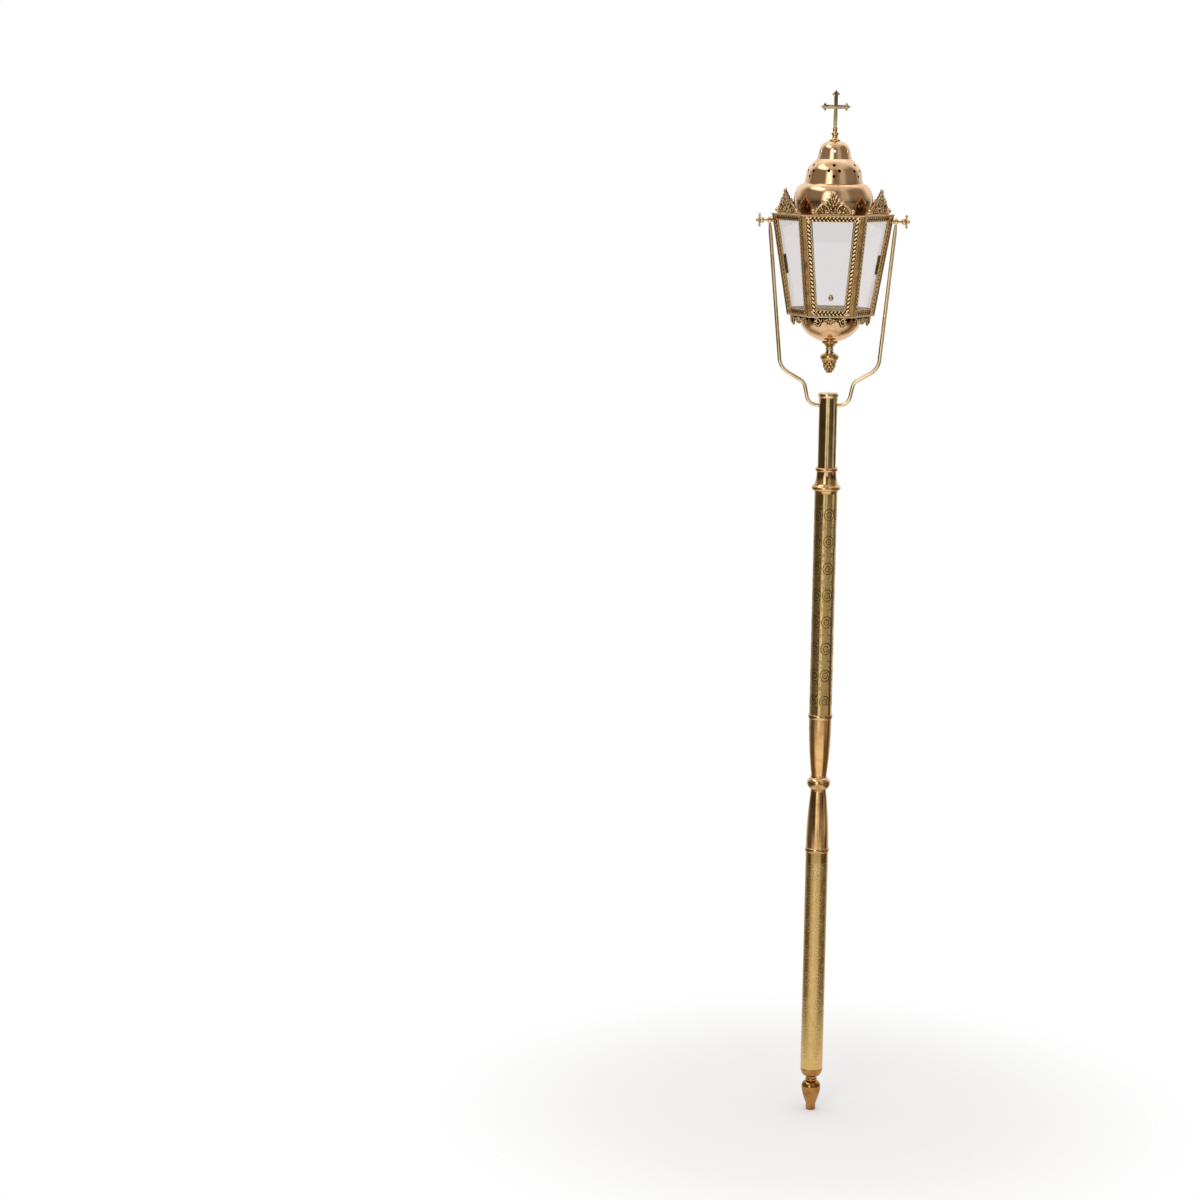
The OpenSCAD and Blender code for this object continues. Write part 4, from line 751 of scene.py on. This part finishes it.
def castFrame():
    bm = bmesh.new()
    low, high = lantern["plate"] / math.cos(slope), sideHeight - lantern["plate"] / math.cos(slope)
    sill = (lantern["plate"] + lantern["bottomBar"]) / math.cos(slope)
    head = sideHeight - (lantern["plate"] + lantern["topBar"]) / math.cos(slope)
    post, inside = lantern["post"], lantern["post"] + lantern["border"]
    depth = -panel["ground"]
    edges = []
    for bottom, top, inset in ((low, high, post), (sill, head, inside)):
        verts = [bm.verts.new((u, v, -lantern["frameThick"])) for u, v in corners(bottom, top, inset)]
        edges += [bm.edges.new((verts[i], verts[i - 1])) for i in range(4)]
    pushOut(bm, bmesh.ops.bridge_loops(bm, edges=edges)["faces"], (0, 0, lantern["frameThick"] + depth))
    # the sunk ground takes the second finish, darkened as painted shade; sides and back take the third
    for f in bm.faces:
        f.material_index = 1 if f.calc_center_median().z > depth - 0.01 else 2
    fillet = panel["fillet"]
    for bottom, top, inset in ((low + fillet, high - fillet, post + fillet),
                               (sill - fillet, head + fillet, inside - fillet)):
        ends = [(u, v, depth + panel["filletRise"]) for u, v in corners(bottom, top, inset)]
        for i in range(4):
            bar(bm, ends[i], ends[i - 1], fillet)
    middle = post + lantern["border"] / 2
    across, up = panel["beadPlace"]
    count = int((high - low) / panel["leafPitch"])
    for k in range(count):
        v = low + (high - low) * (k + 0.5) / count
        for side in (-1, 1):
            u = side * (halfWidth(v) - middle)
            lobe(bm, (u, v, depth), panel["leaf"], side * panel["leafLean"], panel["worn"])
            lobe(bm, (u - side * across, v + up, depth), panel["bead"])
            lobe(bm, (u + side * across, v - up, depth), panel["bead"])
    for v in ((low + sill) / 2, (head + high) / 2):
        reach = halfWidth(v) - post - 2 * fillet
        strokes = int(2 * reach / panel["strokePitch"])
        for i in range(strokes):
            u = -reach + 2 * reach * (i + 0.5) / strokes
            for side in (1, -1):
                spot = (u - side * panel["strokePitch"] / 4, v + side * panel["strokeRow"], depth)
                lobe(bm, spot, panel["stroke"], side * panel["strokeLean"], panel["worn"])
    return bm


def aroundSides(bm):
    # six copies of one side's casting, each in its place
    pattern = bpy.data.meshes.new("pattern")
    bm.to_mesh(pattern)
    bm.free()
    copies = []
    for i in range(6):
        copies.append(bmesh.new())
        copies[i].from_mesh(pattern)
        bmesh.ops.transform(copies[i], matrix=sideMatrix(i), verts=copies[i].verts)
    bpy.data.meshes.remove(pattern)
    return copies


for side, bm in zip(sideNames, aroundSides(castFrame())):
    makePiece("castFrame." + side, bm, [reliefBrass, shadedGroundBrass, backBrass], "lantern", ["frame_" + side],
              50)
print("cast frames made")

# one crest: two arches that end in volutes, a column of leaves between them and a ball at each end
# leaves: place, length, width and lean; bumps and holes: place and radius
# buds in the middle: height, length and width
crest = {"width": 65.5, "thick": 2.2, "plate": 0.9, "bed": 0.2, "rail": 0.9, "stem": (1.35, 1.08),
         "stemRise": 0.1, "ball": 3.5, "ballUp": 4.9, "ballWorn": 0.98, "bumpRise": 1.9, "bumpWorn": 0.55,
         "leafRise": 1.3, "budRise": 1.4,
         "edge": [(29.1, 0), (28.3, 2.6), (23.0, 8.8), (17.4, 13.8), (12.8, 16.0), (10.2, 18.8), (6.8, 23.6),
                  (3.4, 28.6), (1.3, 33.0)],
         "bumps": [(0.6, 33.8, 2.6), (4.6, 28.2, 2.0), (8.4, 23.2, 2.2), (12.8, 18.8, 2.3), (18.3, 14.2, 2.0),
                   (23.8, 9.0, 1.9)],
         "holes": [(11.0, 8.8, 2.5), (21.4, 4.2, 1.9), (0, 10.6, 1.6)],
         "arch": [(27.2, 2.6), (23.8, 7.6), (19.8, 13.0), (14.8, 15.8), (10.0, 13.8), (6.6, 9.6), (6.2, 5.4),
                  (8.6, 3.4), (11.0, 4.8), (10.2, 6.8), (8.7, 6.2)],
         "leaves": [(13.2, 18.8, 4.6, 1.6, 44), (16.0, 17.4, 3.0, 1.2, 24), (7.9, 21.8, 4.4, 1.7, 58),
                    (10.2, 18.4, 2.8, 1.2, 70), (3.8, 26.6, 4.2, 1.6, 70), (2.3, 21.0, 3.4, 1.3, 76),
                    (4.9, 16.6, 3.4, 1.3, 62), (1.8, 30.6, 2.8, 1.1, 78), (3.2, 9.6, 2.6, 1.1, 80),
                    (2.8, 4.6, 2.2, 1.1, 66), (16.4, 9.6, 3.0, 1.2, 52), (15.3, 4.0, 2.6, 1.2, 24),
                    (19.1, 7.6, 2.4, 1.0, 48), (24.4, 3.0, 1.8, 1.0, 40)],
         "buds": [(25.0, 3.0, 1.4), (15.2, 3.0, 1.5), (3.0, 1.8, 1.6)]}


def mirrored(points):
    return points + [(-u, v) for u, v in reversed(points)]


def castCrest():
    bm = bmesh.new()
    a = crest["width"] / 2 - crest["ball"]
    holes = [arc((side * u, v), r, r, 0, 337.5, 15) for u, v, r in crest["holes"]
             for side in (-1, 1) if side > 0 or u]
    plate(bm, [mirrored(crest["edge"])] + holes, -crest["thick"], crest["plate"])
    depth = -crest["thick"] + crest["plate"] + crest["bed"]
    middle = -crest["thick"] / 2
    bar(bm, (-a, crest["rail"], depth), (a, crest["rail"], depth), crest["rail"])
    for side in (-1, 1):
        scroll(bm, [(side * u, v) for u, v in crest["arch"]], depth + crest["stemRise"], *crest["stem"])
        lobe(bm, (side * a, crest["ballUp"], middle), [crest["ball"]] * 3, 0, crest["ballWorn"], 16)
        for u, v, radius in crest["bumps"]:
            lobe(bm, (side * u, v, middle), (radius, radius, crest["bumpRise"]), 0, crest["bumpWorn"])
        for u, v, length, width, lean in crest["leaves"]:
            lobe(bm, (side * u, v, depth), (length, width, crest["leafRise"]), side * lean)
    for v, length, width in crest["buds"]:
        lobe(bm, (0, v, depth), (length, width, crest["budRise"]), 90)
    bmesh.ops.translate(bm, verts=bm.verts, vec=(0, sideHeight, 0))
    return bm


for side, bm in zip(sideNames, aroundSides(castCrest())):
    makePiece("castCrest." + side, bm, [crestBrass, shadedCrestGround, shadedCrestGround], "lantern", ["crest_" + side],
              50)

# aprons: a broad shell in the middle of each side, a scroll with leaves and beads to its left and right
apron = {"thick": 2, "plate": 0.8, "bed": 0.2, "shell": (11.0, 11.6), "shellDrop": 0.6, "rim": 0.95,
         "rimIn": (0.9, 1.3), "ribs": 7, "ribTurn": 21, "rib": (3.4, 1.0, 1.1), "ribAt": (0.6, 0.58),
         "eye": (2.6, 1.7, 1.3), "eyeDrop": 2.4, "stem": (0.95, 0.7), "stemRise": 0.1, "leafRise": 1.2,
         "beadRise": 1.1,
         "edge": [(12.2, -7.2), (13.4, -11.4), (15.2, -14.0), (17.4, -15.0), (19.8, -14.2), (22.0, -12.0),
                  (24.6, -10.4), (24.6, -0.2)],
         "scroll": [(23.4, -1.4), (19.4, -1.6), (15.8, -4.4), (15.6, -9.4), (18.6, -11.6), (21.2, -9.4),
                    (19.8, -6.6), (17.8, -7.6)],
         "leaves": [(21.2, -4.6, 2.6, 1.5, -60), (13.6, -4.4, 2.6, 1.2, -80)],
         "beads": [(23.2, -9.2, 1.5), (23.2, -5.6, 1.4), (17.4, -13.2, 1.6)]}


def castApron():
    bm = bmesh.new()
    across, down = apron["shell"]
    plate(bm, [mirrored(arc((0, 0), across, down, -90, -26, 10)[1:] + apron["edge"])], -apron["thick"],
          apron["plate"])
    depth = -apron["thick"] + apron["plate"] + apron["bed"]
    for k in range(apron["ribs"]):
        angle = math.radians(-90 + (k - (apron["ribs"] - 1) / 2) * apron["ribTurn"])
        u, v = across * math.cos(angle), down * math.sin(angle)
        spot = (u * apron["ribAt"][0], v * apron["ribAt"][1] - apron["shellDrop"], depth)
        lobe(bm, spot, apron["rib"], math.degrees(math.atan2(v, u)))
    rimLine = arc((0, -apron["shellDrop"]), across - apron["rimIn"][0], down - apron["rimIn"][1],
                  -172, -8, 12)
    scroll(bm, rimLine, depth, apron["rim"], apron["rim"])
    lobe(bm, (0, -apron["eyeDrop"], depth), apron["eye"])
    for side in (-1, 1):
        scroll(bm, [(side * u, v) for u, v in apron["scroll"]], depth + apron["stemRise"], *apron["stem"])
        for u, v, length, width, lean in apron["leaves"]:
            lobe(bm, (side * u, v, depth), (length, width, apron["leafRise"]), side * lean)
        for u, v, radius in apron["beads"]:
            lobe(bm, (side * u, v, depth), (radius, radius, apron["beadRise"]))
    return bm


bm = bmesh.new()
for one in aroundSides(castApron()):
    part = bpy.data.meshes.new("apron")
    one.to_mesh(part)
    one.free()
    bm.from_mesh(part)
    bpy.data.meshes.remove(part)
makePiece("castAprons", bm, [crestBrass, shadedSunkBrass, shadedSunkBrass], "lantern", ["aprons"], 50)
print("crests and aprons made")

# six-sided plates with a rounded lip
rim = {"round": 0.95, "domeHole": 56.7, "cupHole": 10.85, "slotBack": 5.1, "slotFront": 2.5, "slotHalf": 38.1,
       "through": 20}
for name, node, radius, topFinish in (("floorPlate", "floor_plate", lantern["baseRadius"], satinBrass),
                                      ("roofPlate", "roof_plate", lantern["rimRadius"], lipBrass)):
    bm = bmesh.new()
    low, high = heights(node)
    out = radius + lantern["lip"] - rim["round"]
    edge = arc((out, (low + high) / 2), rim["round"], (high - low) / 2, -90, 90, 8)
    turned(bm, [(0, low)] + edge + [(0, high)], 6)
    piece = makePiece(name, bm, [lipBrass, topFinish, sootAndShadeBrass], "lantern", [node], 25)
    # tops take the plate's own finish; the undersides take the black, which is painted shade under the plates
    for face in piece.data.polygons:
        face.material_index = 1 if face.normal.z > 0.99 else 2 if face.normal.z < -0.99 else 0
    cutter = bmesh.new()
    hole = rim["cupHole"] if node == "floor_plate" else rim["domeHole"]
    bmesh.ops.create_cone(cutter, cap_ends=True, segments=96, radius1=hole, radius2=hole,
                          depth=rim["through"], matrix=Matrix.Translation((0, 0, low)))
    cutAway(piece, cutter, 25)
    if node == "roof_plate":
        cutter = bmesh.new()
        deep, mid = rim["slotBack"] - rim["slotFront"], -(rim["slotBack"] + rim["slotFront"]) / 2
        spot = sideMatrix(0) @ Matrix.Translation((0, sideHeight, mid))
        slot = Matrix.Diagonal((2 * rim["slotHalf"], rim["through"], deep, 1))
        bmesh.ops.create_cube(cutter, size=1, matrix=spot @ slot)
        cutAway(piece, cutter, 25)
print("plates made")

# ball knob of the sliding pane
knob = {"radius": 4, "stem": 3, "washer": 3.2, "washerEdge": 0.6, "washerTop": 1.3, "neck": 2.3, "height": 31,
        "depth": 2.8}
lean = math.asin(knob["neck"] / knob["radius"])
ball = arc((0, knob["stem"] + knob["radius"] * math.cos(lean)), knob["radius"], knob["radius"],
           math.degrees(lean) - 90, 90, 24)
washer = [(0, 0), (knob["washer"], 0), (knob["washer"], knob["washerEdge"]),
          (knob["neck"], knob["washerTop"])]
turnPiece("paneKnob", washer + ball, knobBrass, "front_pane", "pane_knob", 48,
          matrix=sideMatrix(0) @ Matrix.Translation((0, knob["height"], -knob["depth"])))
print("pane knob made")

# what stays as it was built gets its finish, the corner posts a darker brass that is painted shade
finishes = [(sheetGlass, ["pane_" + side for side in sideNames[1:]]), (handledGlass, ["pane_front"]),
            (platedSteel, ["tie_rod", "tie_nuts", "yoke_grub_screws", "roof_nut", "bowl_nut", "finial_stud",
                           "pane_knob_screw"]),
            (clipBrass, ["glass_clips"]), (dullShadedStripBrass, ["corner_posts", "yoke_block"]),
            (turnedBrass, ["candle_cup", "pivot_bushes"])]
for finish, nodes in finishes:
    for node in nodes:
        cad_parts[node].material_slots[0].material = finish
print("finishes set")


# studio: pale floor that fades out, white surroundings, one large soft light and a narrow one
# panels of the room round the object, in degrees: azimuth from the camera's side, positive to the right,
# half width and its softness, lowest and highest height and their softness; then the level
room = {"walls": "#6f604a", "diffuse": 0.86, "behind": (0.81, 0.795, 0.785), "darkest": (0.03, 0.023, 0.014),
        "shade": (0, 181, 1, -16, 8, 4, 0.62),
        "panels": [
            # pale room behind the object
            (180, 62, 18, 4, 90, 6, 0.75), (180, 44, 14, -90, 4, 6, 0.75),
            # ceiling, and a little light on the walls
            (0, 181, 1, 54, 90, 14, 0.48), (0, 181, 1, 8, 90, 6, 0.09),
            # windows that show in the roof, the bowl and the knobs
            (-20, 11, 7, 0, 42, 8, 1.7), (-74, 34, 10, 45, 62, 5, 2.2), (36, 13, 9, 0, 60, 10, 0.3),
            # bands that show in the rods and the plain tube
            (-3, 19, 4, -8, -1, 2, 0.9), (86, 14, 5, -9, -5.3, 0.8, 0.5), (-3, 22, 5, -5, -0.5, 1, 0.35),
            (-3, 7, 3, -8.2, -5.4, 0.6, -0.6),
            # bands that show in the side frames and the upper tube
            (122, 12, 5, -17, -8, 3, 0.2), (-122, 12, 5, -17, -8, 3, 0.2), (-15, 13, 4, -13, -8, 2, 1.0),
            (40, 45, 10, -13, -8, 2, 0.42), (134, 14, 5, -13, -8, 2, 0.4), (-85, 42, 10, -13, -8, 2, 0.08),
            # floor in front, which shows in the lower tube and the front frame
            (-7, 50, 14, -22, -14.5, 2.5, 0.9), (4, 46, 14, -36, -22, 4, 0.85),
            (-8, 95, 25, -68, -36, 4, 0.75), (0, 181, 1, -90, -68, 4, 0.18)]}


def softPanel(tree, azimuth, height, spread):
    middle, half, soft, low, high, edge, level = spread
    turn = reckon(tree, "WRAP", reckon(tree, "SUBTRACT", azimuth, math.radians(middle)), math.pi, -math.pi)
    away = reckon(tree, "ABSOLUTE", turn)
    for value, dark, lit in ((away, half + soft, half - soft), (height, low - edge, low + edge),
                             (height, high + edge, high - edge)):
        share = remap(tree, value, math.radians(dark), math.radians(lit), kind="SMOOTHSTEP")
        level = reckon(tree, "MULTIPLY", share, level)
    return level


def studioWorld():
    # metal shows the room and glass a pale background; the camera sees white, and matt things are lit by it
    world = bpy.data.worlds.new("studio")
    scene.world = world
    world.use_nodes = True
    tree = world.node_tree
    tree.nodes.clear()
    path = addNode(tree, "ShaderNodeLightPath")
    way = addNode(tree, "ShaderNodeSeparateXYZ",
                  {"Vector": addNode(tree, "ShaderNodeTexCoord").outputs["Generated"]})
    azimuth = reckon(tree, "ARCTAN2", way.outputs["X"], reckon(tree, "MULTIPLY", way.outputs["Y"], -1.0))
    height = reckon(tree, "ARCSINE", way.outputs["Z"])
    level = 0.0
    for spread in room["panels"]:
        level = reckon(tree, "ADD", softPanel(tree, azimuth, height, spread), level)
    share = reckon(tree, "SUBTRACT", 1.0, softPanel(tree, azimuth, height, room["shade"]))
    dim = addNode(tree, "ShaderNodeVectorMath", {0: linear(room["walls"])[:3], "Scale": share},
                  operation="SCALE")
    lit = addNode(tree, "ShaderNodeVectorMath", {0: dim.outputs["Vector"], 1: level}, operation="ADD")
    walls = addNode(tree, "ShaderNodeVectorMath", {0: lit.outputs["Vector"], 1: room["darkest"]},
                    operation="MAXIMUM")
    plain = remap(tree, path.outputs["Is Diffuse Ray"], 0, 1, 1.0, room["diffuse"])
    seen = blend(tree, path.outputs["Is Transmission Ray"], walls.outputs["Vector"], (*room["behind"], 1))
    shown = blend(tree, path.outputs["Is Glossy Ray"], plain, seen)
    light = addNode(tree, "ShaderNodeBackground", {"Color": shown})
    addNode(tree, "ShaderNodeOutputWorld", {"Surface": light.outputs["Background"]})


floorSize = {"radius": 0.8, "fade": (0.2, 0.7)}


def paleFloor():
    bm = bmesh.new()
    bmesh.ops.create_circle(bm, cap_ends=True, radius=floorSize["radius"], segments=96)
    mesh = bpy.data.meshes.new("floor")
    bm.to_mesh(mesh)
    bm.free()
    material, tree, place = newMaterial("paleFloor")
    away = addNode(tree, "ShaderNodeVectorMath", {0: place}, operation="LENGTH")
    fade = remap(tree, away.outputs["Value"], *floorSize["fade"], kind="SMOOTHSTEP")
    pale = addNode(tree, "ShaderNodeBsdfDiffuse", {"Color": linear("#fbfaf9")})
    gone = addNode(tree, "ShaderNodeBsdfTransparent")
    both = addNode(tree, "ShaderNodeMixShader", {0: fade, 1: pale.outputs["BSDF"], 2: gone.outputs["BSDF"]})
    addNode(tree, "ShaderNodeOutputMaterial", {"Surface": both.outputs["Shader"]})
    mesh.materials.append(material)
    floor = bpy.data.objects.new("floor", mesh)
    scene.collection.objects.link(floor)


def softLight(name, place, aim, size, power, colour):
    lamp = bpy.data.lights.new(name, "AREA")
    lamp.shape, lamp.size, lamp.size_y, lamp.energy = "RECTANGLE", size[0], size[1], power
    lamp.color = linear(colour)[:3]
    light = bpy.data.objects.new(name, lamp)
    light.visible_glossy = False
    light.location = place
    light.rotation_euler = (Vector(aim) - Vector(place)).to_track_quat("-Z", "Y").to_euler()
    scene.collection.objects.link(light)


studioWorld()
paleFloor()
softLight("keySoftbox", (-1.25, -3.4, 2.6), (0, 0, 1.35), (1.6, 1.8), 20, "#fffaf4")
softLight("sideStrip", (1.4, -3.6, 2.1), (0, 0, 1.35), (0.5, 1.4), 3, "#fffaf4")
print("studio lit")

# camera at the photograph's height and angle
view = {"distance": 4.414, "height": 1.557, "pitch": 9.59, "yaw": 4.463, "roll": 0.71, "lens": 87.0,
        "sensor": 36.0}
camera = bpy.data.cameras.new("camera")
camera.lens, camera.sensor_width, camera.clip_start = view["lens"], view["sensor"], 0.05
viewer = bpy.data.objects.new("camera", camera)
viewer.matrix_world = (Matrix.Translation((0, -view["distance"], view["height"]))
                       @ Matrix.Rotation(math.radians(view["yaw"]), 4, "Z")
                       @ Matrix.Rotation(math.radians(90 - view["pitch"]), 4, "X")
                       @ Matrix.Rotation(math.radians(view["roll"]), 4, "Z"))
scene.collection.objects.link(viewer)
scene.camera = viewer
